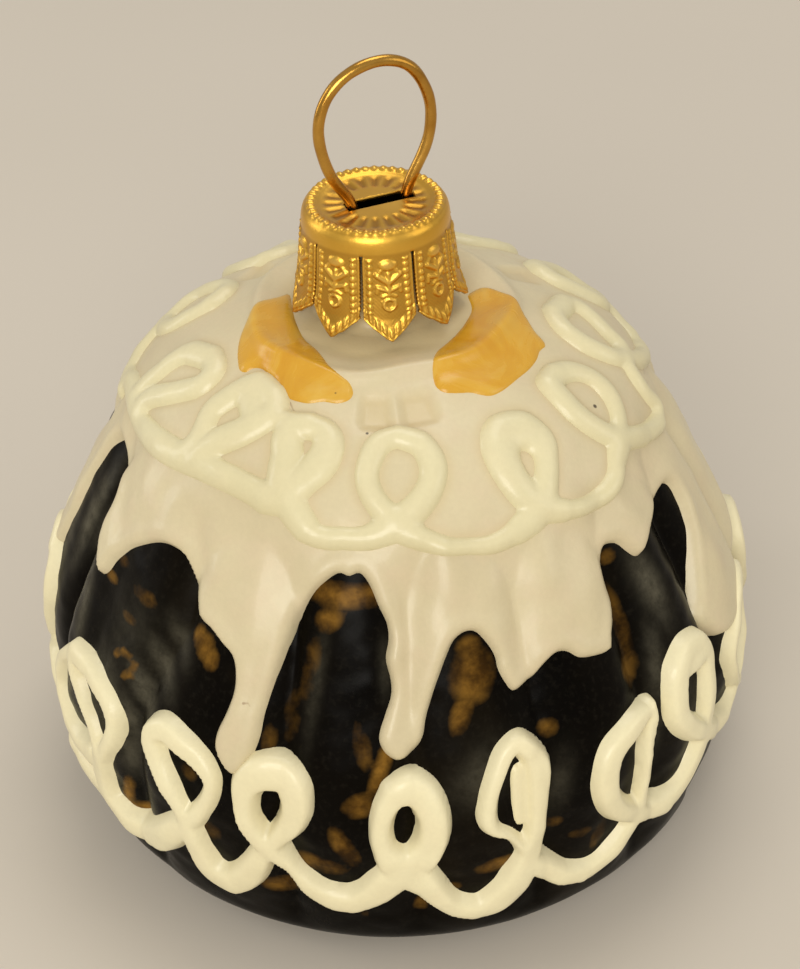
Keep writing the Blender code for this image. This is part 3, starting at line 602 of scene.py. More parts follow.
def ramp(tree, value, stops):
    node = tree.nodes.new("ShaderNodeValToRGB")
    tree.links.new(value, node.inputs["Fac"])
    bar = node.color_ramp
    while len(bar.elements) < len(stops):
        bar.elements.new(0.5)
    for e, (at, colour) in zip(bar.elements, stops):
        e.position = at
        e.color = (*colour, 1.0) if len(colour) == 3 else colour
    return node.outputs["Color"]


def span(tree, value, lo, hi, to_lo, to_hi):
    node = tree.nodes.new("ShaderNodeMapRange")
    tree.links.new(value, node.inputs["Value"])
    node.inputs["From Min"].default_value = lo
    node.inputs["From Max"].default_value = hi
    node.inputs["To Min"].default_value = to_lo
    node.inputs["To Max"].default_value = to_hi
    return node.outputs["Result"]


def mix(tree, fac, a, b, how="MIX"):
    node = tree.nodes.new("ShaderNodeMix")
    node.data_type = "RGBA"
    node.blend_type = how
    for socket, value in ((node.inputs[0], fac), (node.inputs[6], a), (node.inputs[7], b)):
        if isinstance(value, bpy.types.NodeSocket):
            tree.links.new(value, socket)
        elif isinstance(value, (int, float)):
            socket.default_value = value
        else:
            socket.default_value = (*value, 1.0)
    return node.outputs[2]


def maths(tree, how, a, b=0.0, clamp=False):
    node = tree.nodes.new("ShaderNodeMath")
    node.operation = how
    node.use_clamp = clamp
    for socket, value in ((node.inputs[0], a), (node.inputs[1], b)):
        if isinstance(value, bpy.types.NodeSocket):
            tree.links.new(value, socket)
        else:
            socket.default_value = value
    return node.outputs[0]


def bump(tree, height, distance, strength=1.0, normal=None):
    node = tree.nodes.new("ShaderNodeBump")
    node.inputs["Strength"].default_value = strength
    node.inputs["Distance"].default_value = distance
    tree.links.new(height, node.inputs["Height"])
    if normal is not None:
        tree.links.new(normal, node.inputs["Normal"])
    return node.outputs["Normal"]


def attribute(tree, name):
    node = tree.nodes.new("ShaderNodeAttribute")
    node.attribute_name = name
    return node.outputs["Fac"]


def scratch_mask(tree, vector, a, b, width):
    """1 inside a thin mark from a to b (metres), fading out at width."""
    a, b = Vector(a), Vector(b)
    ba = b - a
    near = tree.nodes.new("ShaderNodeVectorMath")
    near.operation = "SUBTRACT"
    tree.links.new(vector, near.inputs[0])
    near.inputs[1].default_value = a
    if ba.length < 1e-7:
        far = tree.nodes.new("ShaderNodeVectorMath")
        far.operation = "LENGTH"
        tree.links.new(near.outputs["Vector"], far.inputs[0])
        d = far.outputs["Value"]
    else:
        dot = tree.nodes.new("ShaderNodeVectorMath")
        dot.operation = "DOT_PRODUCT"
        tree.links.new(near.outputs["Vector"], dot.inputs[0])
        dot.inputs[1].default_value = ba / ba.length_squared
        t = maths(tree, "ADD", dot.outputs["Value"], 0.0, clamp=True)
        along = tree.nodes.new("ShaderNodeVectorMath")
        along.operation = "SCALE"
        along.inputs[0].default_value = ba
        tree.links.new(t, along.inputs["Scale"])
        off = tree.nodes.new("ShaderNodeVectorMath")
        off.operation = "DISTANCE"
        tree.links.new(near.outputs["Vector"], off.inputs[0])
        tree.links.new(along.outputs["Vector"], off.inputs[1])
        d = off.outputs["Value"]
    return span(tree, d, width * 0.55, width, 1.0, 0.0)


def on_top(angle, s, lift):
    p, n = surface(np.array([float(angle)]), np.array([float(s)]))
    return tuple((p[0] + n[0] * lift) * MM)


def chocolate_material():
    mat, tree, out = nodes_of("chocolate_glass")
    v = coords(tree)
    tall = coords(tree, (1.0, 1.0, 0.4))
    fine = noise(tree, v, 1800.0, 3.0)
    broad = noise(tree, tall, 90.0, 5.0, 0.6, 0.4)
    patchy = noise(tree, v, 300.0, 4.0, 0.6)
    dark = ramp(tree, broad, [(0.30, (0.0006, 0.0004, 0.0002)), (0.55, (0.0022, 0.0014, 0.0006)), (0.78, (0.0080, 0.0055, 0.0024))])
    dust_and_painted_sheen = mix(tree, span(tree, fine, 0.52, 0.8, 0.0, 0.12), dark, (0.045, 0.038, 0.026))
    # painted reflection: grey streaks of reflected light mixed into the dark glass colour, on top of the fine dust
    painted_sheen_mask = maths(tree, "MULTIPLY", attribute(tree, "painted_sheen"), span(tree, noise(tree, v, 700.0, 5.0, 0.7), 0.35, 0.65, 0.45, 1.0))
    dust_and_painted_sheen = mix(tree, painted_sheen_mask, dust_and_painted_sheen, (0.105, 0.095, 0.066))
    rub = attribute(tree, "rub")
    worn = maths(tree, "MULTIPLY", rub, span(tree, patchy, 0.36, 0.60, 0.55, 1.15))
    worn = span(tree, worn, 0.18, 0.95, 0.0, 0.9)
    gold = ramp(tree, patchy, [(0.33, (0.10, 0.043, 0.005)), (0.62, (0.235, 0.116, 0.017))])
    tree.links.new(mix(tree, worn, dust_and_painted_sheen, gold), out.inputs["Base Color"])
    tree.links.new(span(tree, broad, 0.3, 0.7, 0.24, 0.36), out.inputs["Roughness"])
    out.inputs["Specular IOR Level"].default_value = 0.045
    out.inputs["Coat Weight"].default_value = 0.0
    tree.links.new(bump(tree, fine, 0.00002, 0.5), out.inputs["Normal"])
    return mat


def enamel_material(name, low, high, tint, rough, marks=(), specular=0.38, coat=0.12, grain=0.00003, painted_shade=None):
    mat, tree, out = nodes_of(name)
    v = coords(tree)
    broad = noise(tree, v, 70.0, 3.0, 0.5)
    medium = noise(tree, v, 330.0, 4.0, 0.6)
    fine = noise(tree, v, 2200.0, 2.0)
    colour = ramp(tree, broad, [(0.32, low), (0.68, high)])
    colour = mix(tree, span(tree, medium, 0.45, 0.75, 0.0, 0.5), colour, tint)
    colour = mix(tree, span(tree, fine, 0.35, 0.7, 0.10, 0.0), colour, tuple(c * 0.72 for c in low))
    where = tree.nodes.new("ShaderNodeTexCoord").outputs["Object"]
    # painted shade: darker enamel in the hollow under the cap, in the dents and round the upper strands
    if painted_shade:
        colour = mix(tree, maths(tree, "MULTIPLY", attribute(tree, "painted_shade"), 0.75), colour, painted_shade)
    height = medium
    for a, b, width, shade, depth in marks:
        mask = scratch_mask(tree, where, a, b, width)
        colour = mix(tree, maths(tree, "MULTIPLY", mask, depth), colour, shade)
    tree.links.new(colour, out.inputs["Base Color"])
    tree.links.new(span(tree, medium, 0.3, 0.7, rough - 0.06, rough + 0.08), out.inputs["Roughness"])
    out.inputs["Specular IOR Level"].default_value = specular
    out.inputs["Coat Weight"].default_value = coat
    out.inputs["Coat Roughness"].default_value = 0.12
    tree.links.new(bump(tree, height, 0.00012, 0.5, bump(tree, fine, grain, 0.4)), out.inputs["Normal"])
    return mat


def amber_material():
    mat, tree, out = nodes_of("amber_enamel")
    v = coords(tree)
    stretched = coords(tree, (1.0, 1.0, 0.6))
    streak = noise(tree, stretched, 150.0, 5.0, 0.55, 1.6)
    fine = noise(tree, v, 1500.0, 2.0)
    colour = ramp(tree, streak, [(0.30, (0.56, 0.262, 0.013)), (0.50, (0.61, 0.325, 0.026)), (0.66, (0.64, 0.385, 0.055)), (0.80, (0.68, 0.47, 0.13))])
    where = tree.nodes.new("ShaderNodeTexCoord").outputs["Object"]
    mask = scratch_mask(tree, where, on_top(-17.6, 61.4, 1.05), on_top(-17.6, 61.4, 1.05), 0.00015)
    colour = mix(tree, mask, colour, (0.10, 0.05, 0.01))
    tree.links.new(colour, out.inputs["Base Color"])
    tree.links.new(span(tree, streak, 0.3, 0.7, 0.20, 0.34), out.inputs["Roughness"])
    out.inputs["Specular IOR Level"].default_value = 0.35
    out.inputs["Coat Weight"].default_value = 0.2
    out.inputs["Coat Roughness"].default_value = 0.10
    out.inputs["Subsurface Weight"].default_value = 0.0
    tree.links.new(bump(tree, streak, 0.0002, 0.5, bump(tree, fine, 0.00002, 0.4)), out.inputs["Normal"])
    return mat


def gold_material():
    mat, tree, out = nodes_of("gold_cap")
    v = coords(tree)
    broad = noise(tree, v, 160.0, 4.0)
    fine = noise(tree, v, 2600.0, 3.0)
    relief = attribute(tree, "relief")
    colour = ramp(tree, broad, [(0.3, (0.70, 0.385, 0.050)), (0.7, (0.80, 0.48, 0.080))])
    colour = mix(tree, span(tree, relief, -0.12, 0.05, 0.75, 0.0), colour, (0.30, 0.13, 0.018))
    colour = mix(tree, span(tree, relief, 0.12, 0.30, 0.0, 0.5), colour, (0.90, 0.62, 0.22))
    tree.links.new(colour, out.inputs["Base Color"])
    out.inputs["Metallic"].default_value = 1.0
    tree.links.new(span(tree, broad, 0.3, 0.7, 0.30, 0.42), out.inputs["Roughness"])
    tree.links.new(bump(tree, fine, 0.00003, 0.5), out.inputs["Normal"])
    return mat


def wire_material():
    mat, tree, out = nodes_of("brass_wire")
    v = coords(tree, (1.0, 1.0, 1.0))
    broad = noise(tree, v, 260.0, 4.0)
    fine = noise(tree, v, 2600.0, 3.0)
    colour = ramp(tree, broad, [(0.32, (0.40, 0.19, 0.028)), (0.60, (0.57, 0.315, 0.062)), (0.8, (0.76, 0.49, 0.16))])
    tree.links.new(colour, out.inputs["Base Color"])
    out.inputs["Metallic"].default_value = 1.0
    tree.links.new(span(tree, broad, 0.3, 0.7, 0.17, 0.30), out.inputs["Roughness"])
    tree.links.new(bump(tree, fine, 0.00003, 0.5), out.inputs["Normal"])
    return mat


# ------------------------------------------------------------------ pieces
def build_glass():
    """The dark fluted glass, from the flat base up to the neck and down into its bore."""
    cols = 468
    s_rows = np.arange(0.0, TOTAL + 0.01, TOTAL / 152)
    angle, s, p, n = grid_on_side(cols, s_rows)
    lift = glass_lift(angle, s)
    lift += (0.11 * waves(p * np.array([1, 1, 0.6]), 6.0, seed=8) + 0.035 * waves(p, 2.4, seed=9)) * smooth((s - 4.0) / 6.0) * (1.0 - smooth((s - 50.0) / 6.0))
    side = p + n * lift[..., None]
    ang = angle[0]

    def ring(r, z):
        return round_place(ang, np.full(cols, float(r)), np.full(cols, float(z)))

    rows = [ring(r, 0.0) for r in (6.0, 14.0, 21.0, 24.6, 25.6)]
    rows += list(side)
    rows += [ring(r, z) for r, z in ((4.95, 51.6), (4.9, 53.0), (4.9, 55.0), (4.9, 59.0), (5.1, 59.3), (5.1, 60.6), (4.95, 60.86), (4.7, 60.9),
                                     (4.4, 60.9), (4.2, 60.8), (4.1, 60.5), (4.1, 57.5), (4.1, 54.9), (3.8, 54.5), (2.0, 54.4))]
    grid = np.array(rows)
    count = len(grid)
    index = np.arange(count * cols).reshape(count, cols)
    right = np.roll(index, -1, axis=1)
    faces = np.stack([index[:-1].ravel(), right[:-1].ravel(), right[1:].ravel(), index[1:].ravel()], axis=1).tolist()
    low, high = count * cols, count * cols + 1
    verts = np.vstack([grid.reshape(-1, 3), [[0.0, 0.0, 0.0], [NECK_LEAN, 0.0, 54.4]]]) * MM
    faces += [(low, int(right[0, j]), int(index[0, j])) for j in range(cols)]
    faces += [(high, int(index[-1, j]), int(right[-1, j])) for j in range(cols)]
    ob = new_object("chocolate_glass", verts.tolist(), faces)
    rub = np.zeros(len(verts))
    rub[5 * cols:5 * cols + s.size] = rub_field(angle, s).ravel()
    # painted reflection strength for each vertex of the dark glass
    painted_sheen_amount = np.zeros(len(verts))
    painted_sheen_amount[5 * cols:5 * cols + s.size] = painted_sheen_field(angle, s).ravel()
    for key, value in (("rub", rub), ("painted_sheen", painted_sheen_amount)):
        attr = ob.data.attributes.new(key, "FLOAT", "POINT")
        attr.data.foreach_set("value", value.astype(np.float32))
    return ob


SPLIT = [(-180, 48.6), (-120, 48.6), (-104, 48.8), (-95, 49.4), (-90.5, 50.4), (-85, 50.9), (-78.9, 51.1), (-74.3, 50.9), (-67.6, 51.4), (-59.7, 51.9), (-51.6, 52.4), (-44.5, 52.8), (-38.5, 52.9), (-32.8, 52.7), (-28.1, 52.3),
         (-24, 51.8), (-21, 51.0), (-17.8, 49.7), (-13, 49.0), (-8.7, 48.9), (-4, 49.2), (1, 50.0), (5.8, 49.1), (10, 48.4), (15, 48.1), (20, 48.0), (26, 48.7),
         (32, 49.8), (36.6, 49.0), (42, 48.4), (48, 48.3), (54, 49.3), (58.6, 50.7), (63.2, 50.2), (68.0, 49.2), (72.1, 48.5), (78.4, 47.9), (80.0, 49.6), (86, 50.4), (92, 51.0), (98, 49.6), (104, 48.6), (180, 48.6)]


def split_at(angle):
    t = np.array(SPLIT, float)
    s = np.interp(angle, t[:, 0], t[:, 1])
    return s + high_shift(angle, s)


def marks_on_icing():
    dark = (0.05, 0.035, 0.02)
    out = []
    for a, s, w, shade in ((-43.7, 51.7, 0.00011, dark), (-5.5, 58.9, 0.00011, dark), (7.1, 59.6, 0.00011, dark),
                           (-24.7, 33.0, 0.0, dark), (61.0, 54.2, 0.00016, dark), (170.0, 46.0, 0.0002, dark), (120.0, 49.4, 0.0002, dark), (205.0, 53.5, 0.0002, dark)):
        if w:
            q = on_top(a, s - (1.0 if s > 54 else 0.0), ICING_H)
            out.append((q, q, w * 1.5, shade, 0.9))
    for (a0, s0), (a1, s1), w in (((-32.4, 59.6), (-29.5, 58.9), 0.00009), ((-29.5, 58.9), (-24.4, 58.7), 0.00009), ((-24.4, 58.7), (-19.0, 58.5), 0.0001),
                                  ((-24.9, 33.6), (-24.2, 33.7), 0.00011), ((-24.2, 33.7), (-23.8, 33.5), 0.00010), ((-1.2, 34.6), (-1.0, 34.0), 0.00012),
                                  ((42.6, 38.8), (42.2, 38.2), 0.00010)):
        out.append((on_top(a0, s0, ICING_H), on_top(a1, s1, ICING_H), w * 1.5, (0.30, 0.20, 0.11), 0.75))
    return out


def build_icing():
    """The drips: from their lower edge up to the middle of the upper garland, and the iced top above it."""
    s_rows = np.arange(25.2, 53.2, 0.335)
    angle, s, p, n = grid_on_side(600, s_rows)
    d = icing_depth(angle, s)
    lift = icing_lift(angle, s, d, p)
    keep = cells(d > -0.05) & cells(s < split_at(angle) + 0.25)
    skirt = patch("icing_drips", p, n, keep, lift, glass_lift(angle, s) - 1.1)

    s_rows = np.concatenate([np.arange(46.2, TOTAL, 0.315), [TOTAL]])
    angle, s, p, n = grid_on_side(480, s_rows)
    d = icing_depth(angle, s)
    lift = icing_lift(angle, s, d, p) + top_hollow(angle, s)
    low = glass_lift(angle, s) - 1.1
    keep = cells(s > split_at(angle) - 0.25)
    # on up the neck, under the cap
    rows, normals = [], []
    a = np.radians(angle[0])
    out = np.stack([np.sin(a), -np.cos(a), 0 * a], axis=-1)
    for r, z, tilt in ((5.5, 52.55, 0.6), (5.16, 53.2, 0.15), (5.1, 54.5, 0.0), (5.1, 57.0, 0.0), (5.1, 59.6, 0.0)):
        rows.append(round_place(angle[0], np.full(len(a), r), np.full(len(a), z)))
        m = out * (1 - tilt) + np.array([0, 0, 1.0]) * tilt
        normals.append(m / np.linalg.norm(m, axis=1)[:, None])
    p = np.concatenate([p, np.array(rows)])
    n = np.concatenate([n, np.array(normals)])
    last = lift[-1:]
    lift = np.concatenate([lift, last * 0.6, last * 0.2 + 0.1, *([np.full((1, len(a)), 0.12)] * 3)])
    low = np.concatenate([low, *([np.full((1, len(a)), -0.3)] * 5)])
    keep = np.concatenate([keep, np.ones((5, keep.shape[1]), bool)])
    # painted shade: the enamel is darkened in the hollow under the cap, in the squarish dents and round the upper
    # strands
    shade = smooth((s - 64.4) / 2.4) + 0.6 * dents(angle, s)
    f = strand_field(angle, s, UPPER, 0.72, blend=0.3, shift=high_shift)
    shade = np.clip(shade + 0.38 * np.exp(-((np.minimum(f, 0.0) + 0.15) / 0.75) ** 2) * (s < 62.5), 0, 1)
    shade = np.concatenate([shade, np.ones((5, shade.shape[1]))])
    crown = patch("icing_top", p, n, keep, lift, low, {"painted_shade": shade})
    return skirt, crown


def icing_level(angle, s, p):
    d = icing_depth(angle, s)
    return icing_lift(angle, s, np.maximum(d, 0.0), p) + top_hollow(angle, s)


def build_lower_piping():
    s_rows = np.arange(7.8, 32.8, 0.27)
    angle, s, p, n = grid_on_side(770, s_rows)
    f = strand_field(angle, s, LOWER, 1.05, shift=low_shift, shape_in=2.5)
    # the sunk shelf inside the fourth loop
    x, y = turn(angle, 18.2) * np.radians(1.0) * side_rz(s)[0], s - 24.6
    shelf = 0.26 * np.clip(3.0 * (1.0 - (np.abs(x) / 1.0) ** 3 - (np.abs(y) / 3.4) ** 3), -9, 1)
    f = np.maximum(f, np.where((x > -1.4) & (x < 2.0), shelf, -9))
    lump = 0.06 * waves(p, 3.2, seed=13) * np.clip(f, 0, 1)
    lift = f + lump - FLUTE_DEPTH * groove(angle, s) * (1.0 - 0.55 * dome(f, 1.0))
    keep = cells(f > -0.03)
    return patch("lower_piping", p, n, keep, lift, -FLUTE_DEPTH * groove(angle, s) - 1.1)


def build_upper_piping():
    s_rows = np.arange(44.9, 62.4, 0.26)
    angle, s, p, n = grid_on_side(540, s_rows)
    f = strand_field(angle, s, UPPER, 0.72, raise_over=0.06, blend=0.3, shift=high_shift, shape_in=2.1, shape_out=0.75)
    level = icing_level(angle, s, p)
    lift = level + f * 1.0 + 0.05 * waves(p, 3.0, seed=14) * np.clip(f, 0, 1)
    keep = cells(f > -0.03)
    return patch("upper_piping", p, n, keep, lift, level - 1.1)


def build_amber():
    s_rows = np.arange(58.4, TOTAL, 0.205)
    angle, s, p, n = grid_on_side(440, s_rows)
    level = icing_level(angle, s, p)
    d = np.full(angle.shape, -9.0)
    for points in AMBER.values():
        d = np.maximum(d, polygon_depth(angle, s, points))
    swell = 1.0 + 0.35 * waves(p, 7.0, seed=17) * dome(d, 2.0)
    lift = level + np.minimum(AMBER_H * dome(d, 1.5) * swell, 1.2 * d)
    keep = cells(d > -0.03)
    return patch("amber_glaze", p, n, keep, lift, level - 1.0)


# ------------------------------------------------------------------ cap
TABS, TAB_AT, TAB_GAP = 9, 8.0, 3.0
SLOT, SLOT_AT, SLOT_TURN = (6.3, 1.6), (-0.1, 0.35), 21.0
CORNER_Z, TIP_Z, SKIRT_Z = 54.35, 52.5, 60.2


def bead(x, y, rx, ry, h):
    return h * np.sqrt(np.clip(1.0 - (x / rx) ** 2 - (y / ry) ** 2, 0, 1))


def segment(x, y, x0, y0, x1, y1, w, h):
    bx, by = x1 - x0, y1 - y0
    t = np.clip(((x - x0) * bx + (y - y0) * by) / (bx * bx + by * by), 0, 1)
    d = np.hypot(x - x0 - t * bx, y - y0 - t * by)
    return h * np.sqrt(np.clip(1.0 - (d / w) ** 2, 0, 1))


def tab_relief(x, z, half, end):
    """Pressed ornament of one tab: x across in mm, z height, half its half width, end the height of its lower edge."""
    edge = half - np.abs(x)                       # distance to the side
    up = z - end
    out = np.zeros_like(x)
    # plain rim, then a rope of beads down each side
    out += 0.10 * smooth(1.0 - edge / 0.22) * (up > 0)
    rope_x = edge - 0.55
    along = (z - 54.9) / 0.62
    k = np.round(along)
    rope = bead(rope_x, (along - k) * 0.62, 0.27, 0.34, 0.20)
    out = np.maximum(out, np.where((z > 54.9) & (z < 59.9), rope, 0))
    # hatched bars round the point
    slope = np.hypot(1.0, (CORNER_Z - TIP_Z) / half)
    low = up / slope
    bars = (np.cos(2 * np.pi * np.abs(x) / 0.56) * 0.5 + 0.5)
    out = np.maximum(out, np.where((z < 55.4), 0.20 * bars * smooth(1.5 - np.abs(low - 0.48) / 0.30), 0))
    out += 0.08 * smooth(1.0 - low / 0.2)
    # oval bead at the top, stem, two pairs of leaves, ring
    out = np.maximum(out, bead(x, z - 59.35, 0.80, 0.50, 0.26))
    out = np.maximum(out, segment(x, z, 0, 58.6, 0, 56.6, 0.17, 0.20))
    for sgn in (-1, 1):
        out = np.maximum(out, segment(x, z, 0.0, 57.75, sgn * 0.95, 58.45, 0.25, 0.22))
        out = np.maximum(out, segment(x, z, sgn * 0.95, 58.45, sgn * 0.62, 58.95, 0.16, 0.16))
        out = np.maximum(out, segment(x, z, 0.0, 57.0, sgn * 0.92, 57.35, 0.20, 0.20))
        out = np.maximum(out, segment(x, z, sgn * 0.92, 57.35, sgn * 1.02, 56.85, 0.16, 0.16))
        out = np.maximum(out, segment(x, z, 0.0, 56.75, sgn * 0.55, 56.45, 0.15, 0.16))
    q = np.hypot(x / 0.60, (z - 55.75) / 0.62)
    out = np.maximum(out, 0.22 * np.sqrt(np.clip(1 - ((q - 0.80) / 0.26) ** 2, 0, 1)))
    # the ground is stippled
    out += 0.02 * np.sin(x * 19.0) * np.sin(z * 17.0)
    return out


def build_cap():
    per, pitch = 44, 360.0 / TABS
    columns, across = [], []
    for k in range(TABS):
        for i in range(per):
            u = 2.0 * i / (per - 1) - 1.0
            columns.append(TAB_AT + k * pitch + u * (pitch - TAB_GAP) / 2)
            across.append(u)
    columns, across = np.radians(np.array(columns)), np.array(across)
    cols = len(columns)
    skirt = np.array([(60.2, 6.50), (58.4, 6.62), (56.4, 6.78), (54.4, 7.10), (52.4, 7.80)])

    def skirt_r(z):
        return np.interp(-z, -skirt[:, 0], skirt[:, 1])

    rows, relief, edge_rows = [], [], []
    # top: flat middle with radial dents, ring of beads, smooth shoulder
    for r in np.concatenate([np.arange(0.5, 4.9, 0.22), np.arange(4.9, 6.15, 0.085)]):
        deg = np.degrees(columns)
        dents = -0.13 * smooth((r - 2.6) / 0.5) * (1 - smooth((r - 4.2) / 0.4)) * (0.5 + 0.5 * np.cos(np.radians(deg * 20)))
        z = 61.85 + 0.18 * smooth((r - 4.7) / 0.5) + 0.0 * deg
        beads = 0.26 * np.sqrt(np.clip(1 - ((r - 5.62) / 0.40) ** 2, 0, 1)) * (0.66 + 0.34 * np.cos(np.radians(deg * 44)))
        z = z + dents + beads - 0.16 * smooth((r - 5.8) / 0.4)
        rows.append(np.stack([r * np.sin(columns), -r * np.cos(columns), z], -1))
        relief.append(dents + beads * 0.8)
    for r, z in ((6.22, 61.74), (6.32, 61.58), (6.40, 61.35), (6.45, 61.1), (6.49, 60.8), (6.50, 60.5)):
        rows.append(np.stack([r * np.sin(columns), -r * np.cos(columns), np.full(cols, z)], -1))
        relief.append(np.full(cols, 0.06))
    top_count = len(rows)
    down = 74
    for i in range(down + 1):
        t = i / down
        end = TIP_Z + (CORNER_Z - TIP_Z) * np.abs(across)
        z = SKIRT_Z + (end - SKIRT_Z) * t
        r = skirt_r(z)
        half = r * np.radians((pitch - TAB_GAP) / 2)
        x = across * half
        h = tab_relief(x, z, half, end) * smooth((SKIRT_Z - z) / 0.35)
        bow = 0.16 * (1 - across ** 2) * smooth((60.2 - z) / 4.0)      # each tab is a little bowed across
        rr = r + h * 0.9 + bow
        rows.append(np.stack([rr * np.sin(columns), -rr * np.cos(columns), z], -1))
        relief.append(h - 0.04)
    grid = np.array(rows)
    grid[..., 0] += NECK_LEAN
    count = len(grid)
    index = np.arange(count * cols).reshape(count, cols)
    right = np.roll(index, -1, axis=1)
    faces = []
    split = (np.arange(cols) % per) == per - 1
    for i in range(count - 1):
        ok = np.ones(cols, bool) if i < top_count else ~split
        faces.append(np.stack([index[i][ok], index[i + 1][ok], right[i + 1][ok], right[i][ok]], axis=1))
    faces = np.vstack(faces).tolist()
    verts = np.vstack([grid.reshape(-1, 3), [[NECK_LEAN, 0.0, 61.85]]]) * MM
    centre = len(verts) - 1
    faces += [(centre, int(index[0, j]), int(right[0, j])) for j in range(cols)]
    ob = new_object("cap_shell", verts.tolist(), faces)
    attr = ob.data.attributes.new("relief", "FLOAT", "POINT")
    attr.data.foreach_set("value", np.concatenate([np.concatenate(relief), [0.0]]).astype(np.float32))
    shell = ob.modifiers.new("Sheet", "SOLIDIFY")
    shell.thickness = 0.3 * MM
    shell.offset = -1.0
    # the slot for the wire
    box = bmesh.new()
    bmesh.ops.create_cube(box, size=1.0)
    for v in box.verts:
        v.co = Vector((v.co.x * SLOT[0], v.co.y * SLOT[1], v.co.z * 3.0)) * MM
    cut_mesh = bpy.data.meshes.new("slot")
    box.to_mesh(cut_mesh)
    box.free()
    cutter = bpy.data.objects.new("slot", cut_mesh)
    cutter.location = Vector((SLOT_AT[0], SLOT_AT[1], 61.9)) * MM
    cutter.rotation_euler = (0, 0, math.radians(SLOT_TURN))
    bpy.context.scene.collection.objects.link(cutter)
    cut = ob.modifiers.new("Slot", "BOOLEAN")
    cut.operation = "DIFFERENCE"
    cut.solver = "EXACT"
    cut.object = cutter
    bpy.context.view_layer.update()
    mesh = bpy.data.meshes.new_from_object(ob.evaluated_get(bpy.context.evaluated_depsgraph_get()))
    ob.modifiers.clear()
    ob.data = mesh
    bpy.data.objects.remove(cutter, do_unlink=True)
    mesh.shade_smooth()
    return ob


# ------------------------------------------------------------------ wire
LOOP = [(-2.8, 55.6), (-2.75, 57.6), (-2.5, 59.6), (-2.35, 61.6), (-2.95, 62.9), (-4.25, 64.8), (-5.0, 67.2), (-5.3, 69.1),
        (-5.1, 70.8), (-4.3, 72.6), (-2.8, 74.0), (-0.8, 74.75), (1.2, 74.8), (3.2, 73.9),
        (4.25, 72.2), (4.9, 70.5), (5.0, 68.6), (4.65, 66.5), (3.7, 64.6), (2.75, 62.9), (2.35, 61.6),
        (2.5, 59.6), (2.75, 57.6), (2.8, 55.6)]


def build_wire():
    a = math.radians(SLOT_TURN)
    line = catmull(LOOP, 7)
    run = np.concatenate([[0.0], np.cumsum(np.hypot(*np.diff(line, axis=0).T))])
    even = np.linspace(0.0, run[-1], 240)
    line = np.stack([np.interp(even, run, line[:, 0]), np.interp(even, run, line[:, 1])], -1)
    soft = np.exp(-0.5 * (np.arange(-12, 13) / 5.0) ** 2)
    soft /= soft.sum()
    long_line = np.vstack([line[:1].repeat(12, 0), line, line[-1:].repeat(12, 0)])
    line = np.stack([np.convolve(long_line[:, 0], soft, "valid"), np.convolve(long_line[:, 1], soft, "valid")], -1)
    line = line[12:-12:2]
    pts = np.stack([SLOT_AT[0] + line[:, 0] * math.cos(a), SLOT_AT[1] + line[:, 0] * math.sin(a), line[:, 1]], -1)
    tangent = np.gradient(pts, axis=0)
    tangent /= np.linalg.norm(tangent, axis=1)[:, None]
    side = np.array([-math.sin(a), math.cos(a), 0.0])
    sides = 20
    verts, faces = [], []
    for i, (p, t) in enumerate(zip(pts, tangent)):
        u = side
        v = np.cross(t, u)
        v /= np.linalg.norm(v)
        r = 0.50 * (1.0 + 0.015 * math.sin(i * 0.9))
        for k in range(sides):
            f = 2 * math.pi * k / sides
            verts.append((p + r * (math.cos(f) * u + math.sin(f) * v)) * MM)
    rings = len(pts)
    for i in range(rings - 1):
        for k in range(sides):
            j = (k + 1) % sides
            faces.append((i * sides + k, i * sides + j, (i + 1) * sides + j, (i + 1) * sides + k))
    faces.append(tuple(range(sides))[::-1])
    faces.append(tuple((rings - 1) * sides + k for k in range(sides)))
    ob = new_object("wire_loop", [tuple(v) for v in verts], faces)
    work = bmesh.new()
    work.from_mesh(ob.data)
    bmesh.ops.recalc_face_normals(work, faces=work.faces)
    work.to_mesh(ob.data)
    work.free()
    ob.data.shade_smooth()
    return ob


def give(ob, mat, node):
    ob.data.materials.clear()
    ob.data.materials.append(mat)
    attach(ob, "root")
    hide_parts(node)


glass = build_glass()
skirt, crown = build_icing()
lower = build_lower_piping()
upper = build_upper_piping()
amber = build_amber()
cap = build_cap()
wire = build_wire()

# the last colour is painted shade, for the hollow under the cap, the dents and round the upper strands
icing_mat = enamel_material("icing_enamel", (0.575, 0.490, 0.308), (0.635, 0.553, 0.355), (0.625, 0.503, 0.335), 0.37, marks_on_icing(), painted_shade=(0.54, 0.42, 0.215))
round_mat = enamel_material("upper_piping_enamel", (0.64, 0.572, 0.346), (0.70, 0.636, 0.40), (0.68, 0.597, 0.37), 0.36, (), specular=0.38, coat=0.2)
piping_mat = enamel_material("piping_enamel", (0.745, 0.668, 0.425), (0.80, 0.732, 0.48), (0.775, 0.688, 0.445), 0.38, (), specular=0.35, coat=0.15)
give(glass, chocolate_material(), "glass_body")
give(skirt, icing_mat, "glass_body")
give(crown, icing_mat, "glass_body")
give(lower, piping_mat, "glass_body")
give(upper, round_mat, "glass_body")
give(amber, amber_material(), "glass_body")
give(cap, gold_material(), "cap")
give(wire, wire_material(), "wire_hanger")

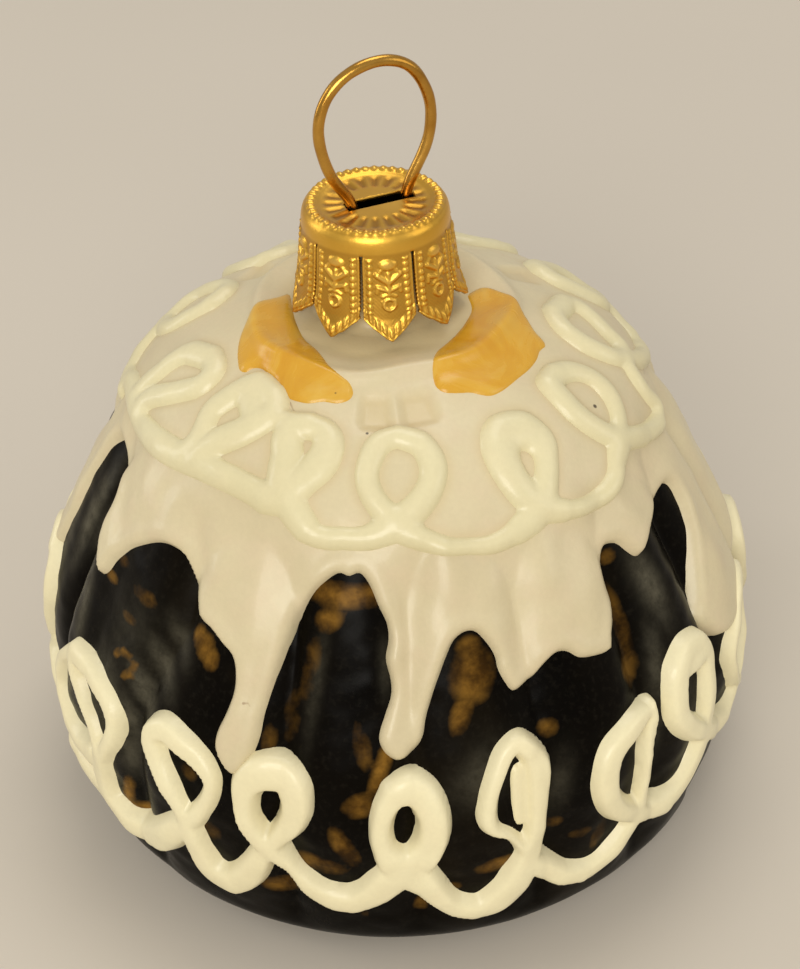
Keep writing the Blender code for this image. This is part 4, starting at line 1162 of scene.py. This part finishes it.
# ------------------------------------------------------------------ floor, light, camera
floor_mesh = bpy.data.meshes.new("floor")
work = bmesh.new()
bmesh.ops.create_circle(work, cap_ends=True, segments=96, radius=3.0)
work.to_mesh(floor_mesh)
work.free()
floor = bpy.data.objects.new("floor", floor_mesh)
floor.location = (0, 0, -0.0002)
bpy.context.scene.collection.objects.link(floor)
floor_mat, floor_tree, floor_out = nodes_of("floor")
floor_v = coords(floor_tree)
tone = noise(floor_tree, floor_v, 6.0, 2.0)
floor_tree.links.new(ramp(floor_tree, tone, [(0.3, (0.565, 0.515, 0.440)), (0.7, (0.595, 0.54, 0.465))]), floor_out.inputs["Base Color"])
floor_out.inputs["Roughness"].default_value = 0.9
floor_out.inputs["Specular IOR Level"].default_value = 0.1
floor_mesh.materials.append(floor_mat)

world = bpy.data.worlds.new("studio")
bpy.context.scene.world = world
world.use_nodes = True
back = world.node_tree.nodes["Background"]
back.inputs["Color"].default_value = (1.0, 0.965, 0.91, 1.0)
back.inputs["Strength"].default_value = 0.56


def area(name, at, to, size, power, colour=(1.0, 0.96, 0.88), size_y=None):
    lamp = bpy.data.lights.new(name, "AREA")
    lamp.energy = power
    lamp.color = colour
    lamp.shape = "RECTANGLE"
    lamp.size = size
    lamp.size_y = size_y or size
    ob = bpy.data.objects.new(name, lamp)
    ob.location = at
    ob.rotation_euler = (Vector(to) - Vector(at)).to_track_quat("-Z", "Y").to_euler()
    bpy.context.scene.collection.objects.link(ob)
    return ob


area("key", (-0.12, -0.68, 0.38), (0, 0, 0.03), 0.42, 3.5, (1.0, 0.97, 0.90))
area("over", (0.06, 0.20, 0.62), (0, 0, 0.03), 0.34, 1.05, (1.0, 0.975, 0.93))
area("fill", (0.62, -0.22, 0.34), (0, 0, 0.03), 0.40, 0.62, (1.0, 0.97, 0.92))
area("window", (-0.52, 0.10, 0.20), (0, 0, 0.03), 0.12, 0.42, (1.0, 0.98, 0.94), 0.34)

el, roll, focal, dist = math.radians(36.96557), math.radians(-2.00202), 2103.51, 0.200
fwd = Vector((0.0, math.cos(el), -math.sin(el)))
right = Vector((1.0, 0.0, 0.0))
up = right.cross(fwd)
r2 = math.cos(roll) * right + math.sin(roll) * up
u2 = -math.sin(roll) * right + math.cos(roll) * up
where = Vector((0.00081, 0.0, 0.03122)) - fwd * dist
cam = bpy.data.cameras.new("camera")
cam.sensor_fit = "AUTO"
cam.sensor_width = 36.0
cam.lens = focal * 36.0 / 969.0
cam.clip_start = 0.005
cam.clip_end = 20.0
cam_ob = bpy.data.objects.new("camera", cam)
cam_ob.matrix_world = Matrix(((r2.x, u2.x, -fwd.x, where.x), (r2.y, u2.y, -fwd.y, where.y), (r2.z, u2.z, -fwd.z, where.z), (0, 0, 0, 1)))
bpy.context.scene.collection.objects.link(cam_ob)
bpy.context.scene.camera = cam_ob
bpy.context.scene.view_settings.view_transform = "Standard"
bpy.context.scene.view_settings.look = "None"
